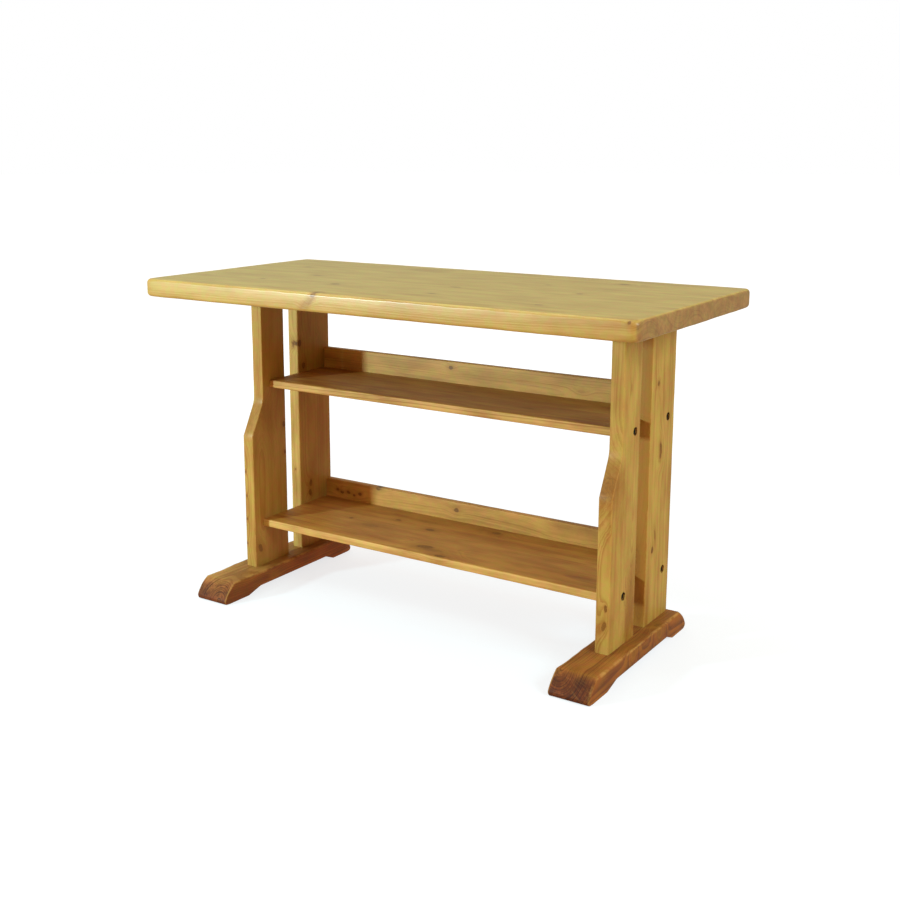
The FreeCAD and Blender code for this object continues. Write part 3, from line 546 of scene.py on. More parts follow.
def pine_material(node, finish, timber, seed, shaded_hole_centres=()):
    """Stained pine for one piece, with its own rings, knots, end grain and rubbed edges."""
    look = FINISHES[finish]
    material, graph = new_material(f"{node}_pine")
    place = graph.add("TexCoord", out="Object")
    normal = graph.add("TexCoord", out="Normal")
    low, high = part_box(node)

    knots = [(knot, knot.lay(graph, place, node, timber.grain)) for knot in timber.knots]
    push = 0.0
    for _, outputs in knots:
        push = graph.plus(push, outputs["Push"])
    sawn = timber_place(graph, place, node, timber, seed)
    figure = use_group(graph, figure_group(), {"Timber": sawn, "Push": push, "Ring": timber.ring})
    mottle = graph.noise(place, scale=END_MOTTLE_SIZE, detail=3.0)
    cut = graph.maths("ABSOLUTE", graph.dot(normal, GRAIN_VECTOR[timber.grain]))
    cut = graph.plus(cut, graph.times(figure["Streak"], CUT_RAGGED))
    cut = graph.between(cut, look.end_from, min(CUT_FULL, look.end_from + CUT_BLEND))

    # The way the inner faces look, for their painted shade.
    inward = -math.copysign(1.0, low.x + high.x)
    wood = stained(graph, place, normal, figure, finish, timber, inward)
    wood = end_grained(graph, wood, cut, figure, mottle, look, timber)
    wood = knotted(graph, wood, figure, knots)
    wood = with_hole_shade(graph, wood, place, shaded_hole_centres)
    edge = graph.add("Attribute", out="Fac", attribute_name=ARRIS)
    worn = graph.noise(place, scale=WEAR_SIZE, detail=5.0, roughness=0.7)
    rubbed = graph.times(graph.times(edge, graph.between(worn, *WORN)), look.rubbed)
    wood = graph.mix(rubbed, wood, solid(bpy.context.scene.bench_colours.rubbed))

    rough = DRY_ROUGH - VARNISH_SMOOTHS * look.varnish
    for source, share in ((figure["Fibre"], 0.16), (edge, 0.14), (cut, 0.16)):
        rough = graph.plus(rough, graph.times(source, share))
    rough = graph.maths("SUBTRACT", rough, graph.times(figure["Late"], 0.05), clamp=True)

    relief = graph.plus(figure["Fibre"], graph.times(figure["Late"], LATE_RELIEF))
    relief = graph.plus(relief, graph.times(graph.times(mottle, cut), END_RELIEF))
    for _, outputs in knots:
        relief = graph.maths("SUBTRACT", relief, graph.times(outputs["Heart"], KNOT_RELIEF))
    bump = graph.add("Bump", {"Strength": 0.35, "Distance": 0.0006, "Height": relief})

    shader = graph.add("BsdfPrincipled", {
        "Base Color": wood, "Roughness": rough, "Normal": bump, "Specular IOR Level": look.shine,
        "Coat Weight": look.varnish, "Coat Roughness": COAT_ROUGH,
    })
    graph.add("OutputMaterial", {"Surface": shader})
    return material


# ---- outlines and solids ---------------------------------------------------------------------

def rounded(corner, before, after, radius, steps=6):
    """The arc that rounds a corner between two neighbouring points."""
    back = (before - corner).normalized()
    ahead = (after - corner).normalized()
    half = back.angle(ahead) / 2
    reach = radius / math.tan(half)
    centre = corner + (back + ahead).normalized() * (radius / math.sin(half))
    first = corner + back * reach - centre
    last = corner + ahead * reach - centre
    turn = first.angle_signed(last)
    return [centre + Matrix.Rotation(-turn * i / steps, 2) @ first for i in range(steps + 1)]


def bulged(start, end, radius, steps=8):
    """Points of the arc of that radius that bulges to the right of the way from start to end."""
    way = end - start
    reach = math.sqrt(radius ** 2 - (way.length / 2) ** 2)
    centre = (start + end) / 2 + Vector((-way.y, way.x)).normalized() * reach
    first = start - centre
    turn = first.angle_signed(end - centre)
    return [centre + Matrix.Rotation(-turn * i / steps, 2) @ first for i in range(steps + 1)]


def spaced(outline, spacing):
    """The outline with extra points along its long sides; outline holds (point, kind of next side)."""
    points = []
    kinds = []
    for index, (point, kind) in enumerate(outline):
        following = outline[(index + 1) % len(outline)][0]
        count = max(1, round((following - point).length / spacing))
        for step in range(count):
            points.append(point.lerp(following, step / count))
            kinds.append(kind)
    return points, kinds


def moved_in(points, amounts):
    """The outline with each side moved inwards by its own amount."""
    count = len(points)
    steps = [(points[(i + 1) % count] - points[i]).normalized() for i in range(count)]
    outward = [Vector((step.y, -step.x)) for step in steps]
    moved = []
    for i, point in enumerate(points):
        before, after = outward[i - 1], outward[i]
        turn = before.x * after.y - before.y * after.x
        first, last = amounts[i - 1], amounts[i]
        if abs(turn) < NEARLY_STRAIGHT:
            shift = (before + after).normalized() * (first + last) / 2
        else:
            shift = Vector((first * after.y - last * before.y, last * before.x - first * after.x))
            shift /= turn
        moved.append(point - shift)
    return moved


# Where a point of an outline lands when the outline is drawn out along an axis.
DRAWN = {
    "X": lambda across, up, along: (along, across, up),
    "Y": lambda across, up, along: (up, along, across),
    "Z": lambda across, up, along: (across, up, along),
}


def plank(outline, arrises, low, high, axis, spacing, wear, extra=None):
    """Closed mesh of an outline drawn out along an axis from low to high.

    arrises gives the rounding for each kind of side; wear makes it uneven, and extra adds to it
    near a place. The outline lies in the two axes that follow the chosen one.
    """
    points, kinds = spaced(outline, spacing)
    turn = DRAWN[axis]
    shape = bmesh.new()
    layer = shape.verts.layers.float.new(ARRIS)
    rings = []
    for face, inward in ((low, 1.0), (high, -1.0)):
        amounts = []
        for index, kind in enumerate(kinds):
            middle = (points[index] + points[(index + 1) % len(points)]) / 2
            spot = Vector(turn(middle.x, middle.y, face))
            swell = noise.noise(spot * LONG_WEAR) + 0.5 * noise.noise(spot * SHORT_WEAR)
            amount = arrises.get(kind, 0.0) * max(LEAST_ARRIS, 1.0 + wear * swell)
            if extra and amount:
                amount += extra(spot)
            amounts.append(amount)
        deepest = [max(amounts[i - 1], amounts[i]) for i in range(len(points))]
        side = []
        for step in range(ARRIS_STEPS + 1):
            angle = math.pi / 2 * step / ARRIS_STEPS
            inner = moved_in(points, [amount * (1 - math.sin(angle)) for amount in amounts])
            ring = []
            for spot, amount in zip(inner, deepest):
                level = face + inward * amount * (1 - math.cos(angle))
                vertex = shape.verts.new(turn(spot.x, spot.y, level))
                vertex[layer] = math.sin(2 * angle) if amount else 0.0
                ring.append(vertex)
            side.append(ring)
        rings += side if inward > 0 else reversed(side)
    for lower, upper in zip(rings, rings[1:]):
        for i in range(len(points)):
            j = (i + 1) % len(points)
            shape.faces.new((lower[i], lower[j], upper[j], upper[i]))
    shape.faces.new(list(reversed(rings[0])))
    shape.faces.new(rings[-1])
    bmesh.ops.remove_doubles(shape, verts=shape.verts, dist=WELD * 5)
    bmesh.ops.recalc_face_normals(shape, faces=shape.faces)
    return shape


def rectangle(low, high, kinds):
    """Outline of a rectangle; kinds are for the sides at the bottom, right, top and left."""
    corners = (Vector(low), Vector((high[0], low[1])), Vector(high), Vector((low[0], high[1])))
    return list(zip(corners, kinds))


def sliced(shape, axis, low, high):
    """The part of a solid between two planes across an axis, closed again."""
    part = shape.copy()
    normal = Vector(GRAIN_VECTOR[axis])
    for place, keep_above in ((low, True), (high, False)):
        if place is None:
            continue
        cut = bmesh.ops.bisect_plane(
            part, geom=[*part.verts, *part.edges, *part.faces], dist=WELD, plane_co=normal * place,
            plane_no=normal, clear_inner=keep_above, clear_outer=not keep_above,
        )
        rim = [item for item in cut["geom_cut"] if isinstance(item, bmesh.types.BMEdge)]
        bmesh.ops.edgeloop_fill(part, edges=rim)
    bmesh.ops.recalc_face_normals(part, faces=part.faces)
    return part


def new_piece(name, shape):
    mesh = bpy.data.meshes.new(name)
    shape.to_mesh(mesh)
    shape.free()
    piece = bpy.data.objects.new(name, mesh)
    bpy.context.scene.collection.objects.link(piece)
    return piece


# ---- holes -----------------------------------------------------------------------------------

def solids_of(node):
    """The box of each separate solid in a node of the frame, in order of X, Y and Z."""
    shape = bmesh.new()
    shape.from_mesh(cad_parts[node].data)
    bmesh.ops.remove_doubles(shape, verts=shape.verts, dist=WELD)
    left = set(shape.verts)
    boxes = []
    while left:
        reach = [left.pop()]
        found = []
        while reach:
            vertex = reach.pop()
            found.append(vertex.co.copy())
            for edge in vertex.link_edges:
                other = edge.other_vert(vertex)
                if other in left:
                    left.discard(other)
                    reach.append(other)
        low = Vector([min(spot[i] for spot in found) for i in range(3)])
        high = Vector([max(spot[i] for spot in found) for i in range(3)])
        boxes.append((low, high))
    shape.free()
    return sorted(boxes, key=lambda box: tuple(round(value, 4) for value in box[0]))


# Turns that lay an upright cylinder along an axis.
LAID = {
    "X": Matrix.Rotation(math.pi / 2, 4, "Y"),
    "Y": Matrix.Rotation(math.pi / 2, 4, "X"),
    "Z": Matrix.Identity(4),
}


def rod(axis, centre, radius, low, high):
    """Cutter: a cylinder along an axis between two places on it."""
    number = "XYZ".index(axis)
    middle = Vector(centre)
    middle[number] = (low + high) / 2
    shape = bmesh.new()
    bmesh.ops.create_cone(
        shape, cap_ends=True, segments=ROD_SIDES, radius1=radius, radius2=radius, depth=high - low,
        matrix=Matrix.Translation(middle) @ LAID[axis],
    )
    return new_piece("cutter", shape)


def drill(piece, cutters):
    """Cut every cutter out of the piece, and throw the cutters away."""
    for cutter in cutters:
        hole = piece.modifiers.new("hole", "BOOLEAN")
        hole.operation = "DIFFERENCE"
        hole.solver = "EXACT"
        hole.object = cutter
    bpy.context.view_layer.update()
    depsgraph = bpy.context.evaluated_depsgraph_get()
    mesh = bpy.data.meshes.new_from_object(piece.evaluated_get(depsgraph))
    piece.modifiers.clear()
    piece.data = mesh
    for cutter in cutters:
        bpy.data.objects.remove(cutter)


def overlaps(first, second):
    """Whether two boxes share any room."""
    return all(first[0][i] < second[1][i] and second[0][i] < first[1][i] for i in range(3))


def dowel_cutters(node, names):
    """One cutter for each dowel that reaches into the node."""
    cutters = []
    for name in names:
        for low, high in solids_of(name):
            if overlaps(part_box(node), (low, high)):
                span = high - low
                number = max(range(3), key=lambda i: span[i])
                radius = min(span) / 2
                cutters.append(rod("XYZ"[number], (low + high) / 2, radius, low[number], high[number]))
    return cutters


def bolts_in(node):
    """For each bolt in the node: where its axis meets the bench's outer side, and its two ends in X."""
    low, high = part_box(node)
    bolts = []
    for name in BLACK_FIXINGS:
        for bolt_low, bolt_high in solids_of(name):
            if overlaps((low, high), (bolt_low, bolt_high)):
                middle = (bolt_low + bolt_high) / 2
                middle.x = math.copysign(max(abs(low.x), abs(high.x)), middle.x)
                bolts.append((middle, (bolt_low.x, bolt_high.x)))
    return bolts


def bolt_cutters(node, sizes):
    """Bolt holes through a leg or into a shelf's end, and the counterbores on a leg's outer face."""
    cutters = []
    for middle, (start, end) in bolts_in(node):
        hole = sizes.bolt_radius + sizes.bolt_clearance
        cutters.append(rod("X", middle, hole, start - sizes.bolt_radius, end + sizes.bolt_radius))
        if "leg" in node:
            ends = (middle.x - sizes.counterbore_depth, middle.x + sizes.counterbore_depth)
            cutters.append(rod("X", middle, sizes.counterbore_radius, *ends))
    return cutters


def upright_cutters(node, name, radius, room=0.0, sink_from=None):
    """Holes for upright screws: the thread's hole, and a wider one for the head from sink_from up."""
    cutters = []
    for low, high in solids_of(name):
        if not overlaps(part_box(node), (low, high)):
            continue
        middle = (low + high) / 2
        cutters.append(rod("Z", middle, radius, low.z, high.z))
        if sink_from is not None:
            head = (high.x - low.x) / 2 + room
            cutters.append(rod("Z", middle, head, sink_from, low.z + HEAD_HEIGHT[name.split("_")[-1]]))
    return cutters


# ---- finishing a piece -----------------------------------------------------------------------

def finish_piece(piece, node, material):
    """Dress a piece and set it in the place of its node."""
    mesh = piece.data
    mesh.materials.clear()
    mesh.materials.append(material)
    for polygon in mesh.polygons:
        polygon.use_smooth = True
        polygon.material_index = 0
    mesh.set_sharp_from_angle(angle=SMOOTH_BELOW)
    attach(piece, BODY)
    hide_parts(node)


# ---- the timber of each piece ----------------------------------------------------------------

# Painted shade: the front board's front-facing edge is darkened a little.
TOP_TIMBER = (
    Timber("X", (0.012, 0.075), 0.0042, (0.5, 0.2), 0.60, knots=(
        Knot("front", 0.388, 0.42, 0.0045, 3.6, 0.15, 0.55, -43),
        Knot("front", 0.400, 0.55, 0.0030, 4.5, 0.25, 0.40, -50),
        Knot("front", 0.404, 0.90, 0.0050, 1.5, 1.0, 0.55, -30),
        Knot("front", 0.986, 0.88, 0.0032, 1.2, 1.0, 0.4),
        Knot("upper", 0.797, 0.80, 0.0050, 1.8, 0.75, 0.45),
    ), end=0.06, front_face_shade=0.15),
    Timber("X", (-0.020, -0.085), 0.0038, (-0.4, 0.3), 0.60, knots=(
        Knot("upper", 0.185, 0.30, 0.0050, 1.5, 0.85, 0.40),
        Knot("upper", 0.354, 0.33, 0.0075, 1.7, 0.75, 0.50),
        Knot("upper", 0.577, 0.10, 0.0055, 1.8, 0.70, 0.40),
    ), end=0.06),
    Timber("X", (0.030, 0.060), 0.0046, (0.6, -0.2), 0.55, knots=(
        Knot("upper", 0.236, 0.32, 0.0055, 2.2, 0.85, 0.50),
        Knot("upper", 0.560, 0.16, 0.0055, 2.6, 0.80, 0.50),
        Knot("upper", 0.787, 0.50, 0.0055, 1.4, 0.80, 0.40),
    ), end=0.06),
    Timber("X", (-0.010, 0.095), 0.0036, (-0.5, -0.3), 0.60, knots=(
        Knot("upper", 0.118, 0.55, 0.0055, 1.6, 0.70, 0.40),
        Knot("upper", 0.680, 0.42, 0.0045, 1.6, 0.70, 0.40),
    ), end=0.06),
    Timber("X", (0.018, -0.070), 0.0040, (0.4, 0.4), 0.60, knots=(
        Knot("upper", 0.790, 0.30, 0.0070, 1.8, 0.65, 0.55),
    ), end=0.06),
)

# Painted light and shade by face: each leg's inner face is darkened as painted shade, the left rear
# leg's front edge made paler as painted light where the front leg shades it, the right rear leg's front
# edge darkened as painted shade in the gap, and the left legs a little darker all over as painted
# shade.
LEG_TIMBER = {
    "left_front_leg": Timber("Z", (0.035, 0.030), 0.0034, (0.5, 0.3), 0.7, 0.02, knots=(
        Knot("front", 0.20, 0.975, 0.0025, 1.3, 0.90, 0.4),
        Knot("front", 0.15, 0.352, 0.0025, 1.3, 0.90, 0.4),
        Knot("front", 0.20, 0.263, 0.0025, 1.3, 0.90, 0.4),
        Knot("front", 0.15, 0.176, 0.0028, 1.3, 0.90, 0.4),
        Knot("front", 0.12, 0.084, 0.0025, 1.3, 0.90, 0.4),
        Knot("side", 0.14, 0.066, 0.0070, 1.8, 0.9, 0.6, 25),
        Knot("side", 0.94, 0.500, 0.0055, 1.4, 1.0, 0.5),
        Knot("side", 0.95, 0.395, 0.0045, 1.4, 0.9, 0.5),
        Knot("side", 0.42, 0.560, 0.0150, 1.7, 0.10, 0.60, 20),
        Knot("front", 0.30, 0.545, 0.0120, 1.6, 0.15, 0.70),
    ), sheltered=0.5),
    "left_rear_leg": Timber("Z", (-0.050, 0.015), 0.0036, (-0.4, 0.4), 0.7, 0.04, knots=(
        Knot("side", 0.04, 0.787, 0.0075, 1.2, 1.0, 0.6),
        Knot("side", 0.16, 0.700, 0.0060, 1.5, 0.9, 0.5),
        Knot("side", 0.32, 0.243, 0.0060, 1.6, 1.0, 0.5),
        Knot("side", 0.30, 0.205, 0.0060, 1.6, 1.0, 0.5, 20),
        Knot("front", 0.45, 0.305, 0.0025, 1.3, 0.7, 0.4),
        Knot("front", 0.50, 0.775, 0.0030, 1.3, 0.6, 0.4),
    ), sheltered=0.45, front=0.6),
    "right_front_leg": Timber("Z", (-0.030, -0.040), 0.0032, (0.3, -0.5), 0.7, knots=(
        Knot("front", 0.72, 0.145, 0.0035, 2.4, 0.95, 0.5),
        Knot("front", 0.62, 0.088, 0.0050, 2.2, 0.85, 0.7, 15),
        Knot("front", 0.42, 0.512, 0.0175, 1.6, 0.40, 1.00, 12, reach=0.07),
        Knot("side", 0.84, 0.130, 0.0110, 4.5, 0.25, 0.90),
        Knot("side", 0.74, 0.050, 0.0120, 2.4, 0.15, 0.80),
        Knot("side", 0.62, 0.80, 0.0040, 2.0, 0.15, 0.3),
    ), sheltered=0.5),
    "right_rear_leg": Timber("Z", (0.055, -0.010), 0.0036, (-0.5, -0.3), 0.7, knots=(
        Knot("side", 0.28, 0.782, 0.0050, 1.2, 0.9, 0.5),
        Knot("side", 0.47, 0.568, 0.0060, 2.4, 1.0, 0.6, 8),
        Knot("side", 0.46, 0.545, 0.0045, 1.6, 0.9, 0.5),
        Knot("side", 0.25, 0.245, 0.0055, 1.5, 1.0, 0.5),
        Knot("side", 0.34, 0.290, 0.0040, 3.2, 0.5, 0.5, 14),
        # Painted shade: these two faint front knots darken the low part of the face that looks into the
        # gap between the right legs.
        Knot("front", 0.30, 0.210, 0.0080, 5.0, 0.30, 0.80),
        Knot("front", 0.60, 0.060, 0.0090, 3.5, 0.35, 0.90),
    ), sheltered=0.5, front_face_shade=0.80),
}

# Painted light and shade: the left foot is darker all over for its shade, with its upper faces made
# paler as painted light; the right foot's upper faces get a little painted light too.
FOOT_TIMBER = {
    "left_foot": Timber("Y", (0.020, -0.030), 0.0040, (0.8, 0.6), 1.0, 0.28, knots=(
        Knot("upper", 0.80, 0.18, 0.0070, 1.8, 0.3, 0.5),
        Knot("side", 0.36, 0.55, 0.0060, 1.5, 0.4, 0.5),
    ), checks=0.06, end=0.04, upward=0.50),
    "right_foot": Timber("Y", (-0.025, 0.035), 0.0042, (-0.6, 0.7), 1.0, knots=(
        Knot("side", 0.42, 0.80, 0.0080, 1.1, 0.45, 0.6),
        Knot("side", 0.69, 0.78, 0.0090, 1.1, 0.45, 0.6),
        Knot("upper", 0.88, 0.72, 0.0070, 1.5, 0.7, 0.6),
        Knot("upper", 0.45, 0.11, 0.0060, 1.5, 0.25, 0.5),
    ), checks=0.06, end=0.24, upward=0.10),
}

# Painted light and shade: the upper shelf's boards are darker all over for the shade under the top, and
# the front boards' front edges are made paler as painted light.
SHELF_TIMBER = {
    "upper_shelf_front_board": Timber("X", (0.030, 0.040), 0.0040, (0.4, 0.5), 0.6, 0.24, knots=(
        Knot("upper", 0.30, 0.45, 0.0060, 2.2, 0.4, 0.5),
        Knot("upper", 0.74, 0.60, 0.0070, 2.4, 0.35, 0.5),
    ), front=1.0),
    "upper_shelf_back_board": Timber("X", (-0.040, 0.050), 0.0038, (-0.5, 0.4), 0.6, 0.24, knots=(
        Knot("upper", 0.52, 0.30, 0.0060, 2.0, 0.4, 0.5),
    )),
    "lower_shelf_front_board": Timber("X", (0.020, 0.055), 0.0042, (0.6, -0.4), 0.5, 0.0, knots=(
        Knot("upper", 0.190, 0.87, 0.0045, 1.3, 1.0, 0.4),
        Knot("upper", 0.270, 0.72, 0.0100, 2.6, 0.35, 0.6),
        Knot("upper", 0.489, 0.31, 0.0110, 2.0, 0.95, 0.8, 10),
        Knot("upper", 0.520, 0.24, 0.0080, 3.2, 0.30, 0.6, 8),
        Knot("upper", 0.557, 0.07, 0.0070, 2.0, 0.95, 0.7),
    ), front=1.0),
    "lower_shelf_back_board": Timber("X", (-0.030, 0.065), 0.0040, (-0.4, -0.5), 0.5, 0.0, knots=(
        Knot("upper", 0.307, 0.26, 0.0055, 1.5, 0.9, 0.5),
        Knot("upper", 0.386, 0.48, 0.0090, 3.0, 0.20, 0.5),
        Knot("upper", 0.423, 0.08, 0.0070, 1.8, 0.9, 0.6),
        Knot("upper", 0.582, 0.62, 0.0075, 1.6, 1.0, 0.6),
        Knot("upper", 0.540, 0.66, 0.0080, 2.6, 0.20, 0.5),
    )),
}

RAIL_TIMBER = {
    "upper_rail": Timber("X", (0.030, 0.020), 0.0036, (0.3, 0.5), 0.45, knots=(
        Knot("front", 0.421, 0.72, 0.0050, 1.3, 1.0, 0.5),
        Knot("front", 0.800, 0.35, 0.0040, 2.5, 0.2, 0.35),
    )),
    "lower_rail": Timber("X", (-0.035, 0.030), 0.0038, (-0.4, 0.5), 0.45, knots=(
        Knot("front", 0.440, 0.58, 0.0055, 1.3, 1.0, 0.5),
        Knot("front", 0.183, 0.97, 0.0060, 1.4, 1.0, 0.6),
        Knot("front", 0.040, 0.46, 0.0035, 1.3, 1.0, 0.7),
        Knot("front", 0.055, 0.34, 0.0038, 1.5, 1.0, 0.7),
        Knot("front", 0.078, 0.40, 0.0042, 1.3, 1.0, 0.7),
        Knot("front", 0.098, 0.30, 0.0032, 1.4, 1.0, 0.7),
        Knot("front", 0.118, 0.42, 0.0042, 1.3, 1.0, 0.7),
        Knot("front", 0.760, 0.85, 0.0120, 1.9, 0.15, 0.75),
        Knot("front", 0.835, 0.90, 0.0110, 1.7, 0.15, 0.75),
    )),
}


# ---- the bench's pieces ----------------------------------------------------------------------

class BENCH_OT_make_top(bpy.types.Operator):
    """Make the top: one rounded slab, divided into its glued-up boards"""

    bl_idname = "bench.make_top"
    bl_label = "Top"

    def execute(self, context):
        sizes = context.scene.bench_sizes
        boxes = [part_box(node) for node in TOP_BOARDS]
        low = Vector([min(box[0][i] for box in boxes) for i in range(3)])
        high = Vector([max(box[1][i] for box in boxes) for i in range(3)])
        corners = [corner for corner, _ in rectangle(low.xy, high.xy, ("edge",) * 4)]
        outline = []
        for index, corner in enumerate(corners):
            turn = rounded(corner, corners[index - 1], corners[(index + 1) % 4], sizes.top_corner)
            outline += [(point, "edge") for point in turn]

        def knocked(spot):
            nearest = min((Vector((spot.x, spot.y)) - corner).length for corner in corners)
            return sizes.top_corner_wear * math.exp(-(nearest / KNOCK_REACH) ** 2)

        slab = plank(
            outline, {"edge": sizes.top_arris}, low.z, high.z, "Z", sizes.spacing, sizes.wear, knocked,
        )
        for number, node in enumerate(TOP_BOARDS):
            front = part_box(node)[0].y if number else None
            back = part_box(node)[1].y if number < len(TOP_BOARDS) - 1 else None
            piece = new_piece(f"{node}_timber", sliced(slab, "Y", front, back))
            drill(piece, dowel_cutters(node, ["top_dowels"]))
            material = pine_material(node, "top", TOP_TIMBER[number % len(TOP_TIMBER)], number + 1)
            finish_piece(piece, node, material)
        slab.free()
        return {"FINISHED"}


def make_timber(context, kind, timbers, seed, axis, outline_of, cutters_of, extra_wear=1.0):
    """Draw out, drill and finish each piece of one kind of timber."""
    sizes = context.scene.bench_sizes
    arrises = {"edge": getattr(sizes, f"{kind}_arris")}
    for number, (node, timber) in enumerate(timbers.items()):
        low, high = (corner["XYZ".index(axis)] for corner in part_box(node))
        shape = plank(
            outline_of(node, sizes), arrises, low, high, axis, sizes.spacing,
            sizes.wear * extra_wear,
        )
        piece = new_piece(f"{node}_timber", shape)
        drill(piece, cutters_of(node, sizes))
        # The legs get painted shade round their bolt holes.
        shaded_hole_centres = [middle for middle, _ in bolts_in(node)] if kind == "leg" else ()
        material = pine_material(node, kind, timber, seed + number, shaded_hole_centres)
        finish_piece(piece, node, material)
    return {"FINISHED"}


def leg_outline(node, sizes):
    """Outline of a leg in Y and Z: the front leg has a shoulder, the rear leg is straight."""
    low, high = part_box(node)
    ends = rectangle((low.y, low.z), (high.y, high.z), ("end", "edge", "end", "edge"))
    if "rear" in node:
        return ends
    neck = low.y + sizes.shoulder_depth
    head = Vector((neck, sizes.shoulder_head))
    heel = Vector((low.y, sizes.shoulder_foot))
    hollow = rounded(head, Vector((neck, high.z)), heel, sizes.shoulder_radius, 10)
    return [
        *ends[:3],
        (Vector((neck, high.z)), "edge"),
        *[(point, "edge") for point in hollow],
        (heel, "edge"),
    ]


def leg_cutters(node, sizes):
    """Holes for a leg's dowels, bolts and coach screws."""
    return [
        *dowel_cutters(node, DOWELS),
        *bolt_cutters(node, sizes),
        *upright_cutters(node, "foot_coach_screws", sizes.coach_radius),
    ]


class BENCH_OT_make_legs(bpy.types.Operator):
    """Make the four leg planks, with the bolts' counterbores in their outer faces"""

    bl_idname = "bench.make_legs"
    bl_label = "Legs"

    def execute(self, context):
        return make_timber(context, "leg", LEG_TIMBER, 11, "X", leg_outline, leg_cutters)


def foot_outline(node, sizes):
    """Outline of a foot in Y and Z, with a curved nose at each end and a hollow underneath."""
    low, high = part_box(node)
    hollow = low.z + sizes.foot_relief
    lip = low.z + sizes.nose_lip
    lower = [
        (low.y, low.z), (low.y + sizes.front_pad, low.z),
        (low.y + sizes.front_pad + sizes.front_ramp, hollow),
        (high.y - sizes.back_pad - sizes.back_ramp, hollow),
        (high.y - sizes.back_pad, low.z), (high.y, low.z),
    ]
    lower = [Vector(spot) for spot in lower]
    back_lip, front_lip = Vector((high.y, lip)), Vector((low.y, lip))
    back_nose = bulged(back_lip, Vector((high.y - sizes.nose_length, high.z)), sizes.nose_radius)
    front_nose = bulged(Vector((low.y + sizes.nose_length, high.z)), front_lip, sizes.nose_radius)
    outline = [(point, "sole") for point in lower[1:4]]
    outline.append((lower[4], "sole"))
    outline += [(point, "edge") for point in rounded(lower[5], lower[4], back_lip, sizes.toe_radius)]
    outline += softened(back_nose, lower[5], front_nose[0], sizes.tip_blend, sizes.nose_blend)
    outline += softened(front_nose, back_nose[-1], lower[0], sizes.nose_blend, sizes.tip_blend)
    toe = rounded(lower[0], front_lip, lower[1], sizes.toe_radius)
    outline += [(point, "edge") for point in toe[:-1]] + [(toe[-1], "sole")]
    return outline


def softened(curve, before, after, first_radius, last_radius):
    """A curve with the corners at its two ends rounded off."""
    first = rounded(curve[0], before, curve[1], first_radius, 3)
    last = rounded(curve[-1], curve[-2], after, last_radius, 3)
    return [(point, "edge") for point in (*first, *curve[1:-1], *last)]


def foot_cutters(node, sizes):
    """Holes for a foot's dowels, coach screws and washers."""
    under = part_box(node)[0].z - sizes.foot_relief
    return [
        *dowel_cutters(node, ["foot_dowels"]),
        *upright_cutters(node, "foot_coach_screws", sizes.coach_radius),
        *upright_cutters(node, "foot_washers", sizes.coach_radius, sizes.washer_room, under),
    ]


class BENCH_OT_make_feet(bpy.types.Operator):
    """Make the two sled feet"""

    bl_idname = "bench.make_feet"
    bl_label = "Feet"

    def execute(self, context):
        return make_timber(
            context, "foot", FOOT_TIMBER, 21, "X", foot_outline, foot_cutters, FOOT_WEAR,
        )


def shelf_outline(node, sizes):
    """Outline of a shelf's board in X and Y: only the shelf's front edge is rounded."""
    low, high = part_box(node)
    front = "edge" if "front" in node else "joint"
    return rectangle(low.xy, high.xy, (front, "end", "joint", "end"))


def nut_cutters(node, name, under):
    """Holes from below for the barrel nuts."""
    cutters = []
    for low, high in solids_of(name):
        if overlaps(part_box(node), (low, high)):
            radius = (high.x - low.x) / 2 + NUT_ROOM
            cutters.append(rod("Z", (low + high) / 2, radius, under, high.z))
    return cutters


def shelf_cutters(node, sizes):
    """Holes for a shelf board's dowels, bolts, barrel nuts and rail screws."""
    shelf = node[:node.index("_shelf")]
    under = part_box(node)[0].z - sizes.counterbore_depth
    return [
        *dowel_cutters(node, [f"{shelf}_shelf_dowels"]),
        *bolt_cutters(node, sizes),
        *nut_cutters(node, f"{shelf}_shelf_barrel_nuts", under),
        *upright_cutters(node, f"{shelf}_rail_screws", sizes.screw_radius, HEAD_ROOM, under),
    ]


class BENCH_OT_make_shelves(bpy.types.Operator):
    """Make the boards of the two shelves"""

    bl_idname = "bench.make_shelves"
    bl_label = "Shelves"

    def execute(self, context):
        return make_timber(context, "shelf", SHELF_TIMBER, 31, "Z", shelf_outline, shelf_cutters)


def rail_outline(node, sizes):
    """Outline of a rail in Z and X: its upper edges are rounded."""
    low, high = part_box(node)
    return rectangle((low.z, low.x), (high.z, high.x), ("end", "edge", "end", "joint"))


def rail_cutters(node, sizes):
    """Holes for the screws that hold a rail to its shelf."""
    return upright_cutters(node, f"{node}_screws", sizes.screw_radius)


class BENCH_OT_make_rails(bpy.types.Operator):
    """Make the rails along the back of the shelves"""

    bl_idname = "bench.make_rails"
    bl_label = "Rails"

    def execute(self, context):
        return make_timber(context, "rail", RAIL_TIMBER, 41, "Y", rail_outline, rail_cutters)


# ---- fixings ---------------------------------------------------------------------------------

def steel_material(name, tint, metallic, roughness):
    """Steel with fine scratches and patches where the finish is thin."""
    material, graph = new_material(name)
    place = graph.add("TexCoord", out="Object")
    patches = graph.noise(place, scale=260.0, detail=4.0, roughness=0.6)
    scratches = graph.noise(graph.vector("MULTIPLY", place, (300.0, 4000.0, 900.0)), detail=2.0)
    worn = solid([value * 0.6 for value in tint])
    shade = graph.mix(graph.between(patches, 0.35, 0.75), solid(tint), worn)
    rough = graph.between(scratches, 0.3, 0.7, *roughness)
    bump = graph.add("Bump", {"Strength": 0.2, "Distance": 0.0001, "Height": scratches})
    shader = graph.add("BsdfPrincipled", {
        "Base Color": shade, "Roughness": rough, "Metallic": metallic, "Normal": bump,
    })
    graph.add("OutputMaterial", {"Surface": shader})
    return material


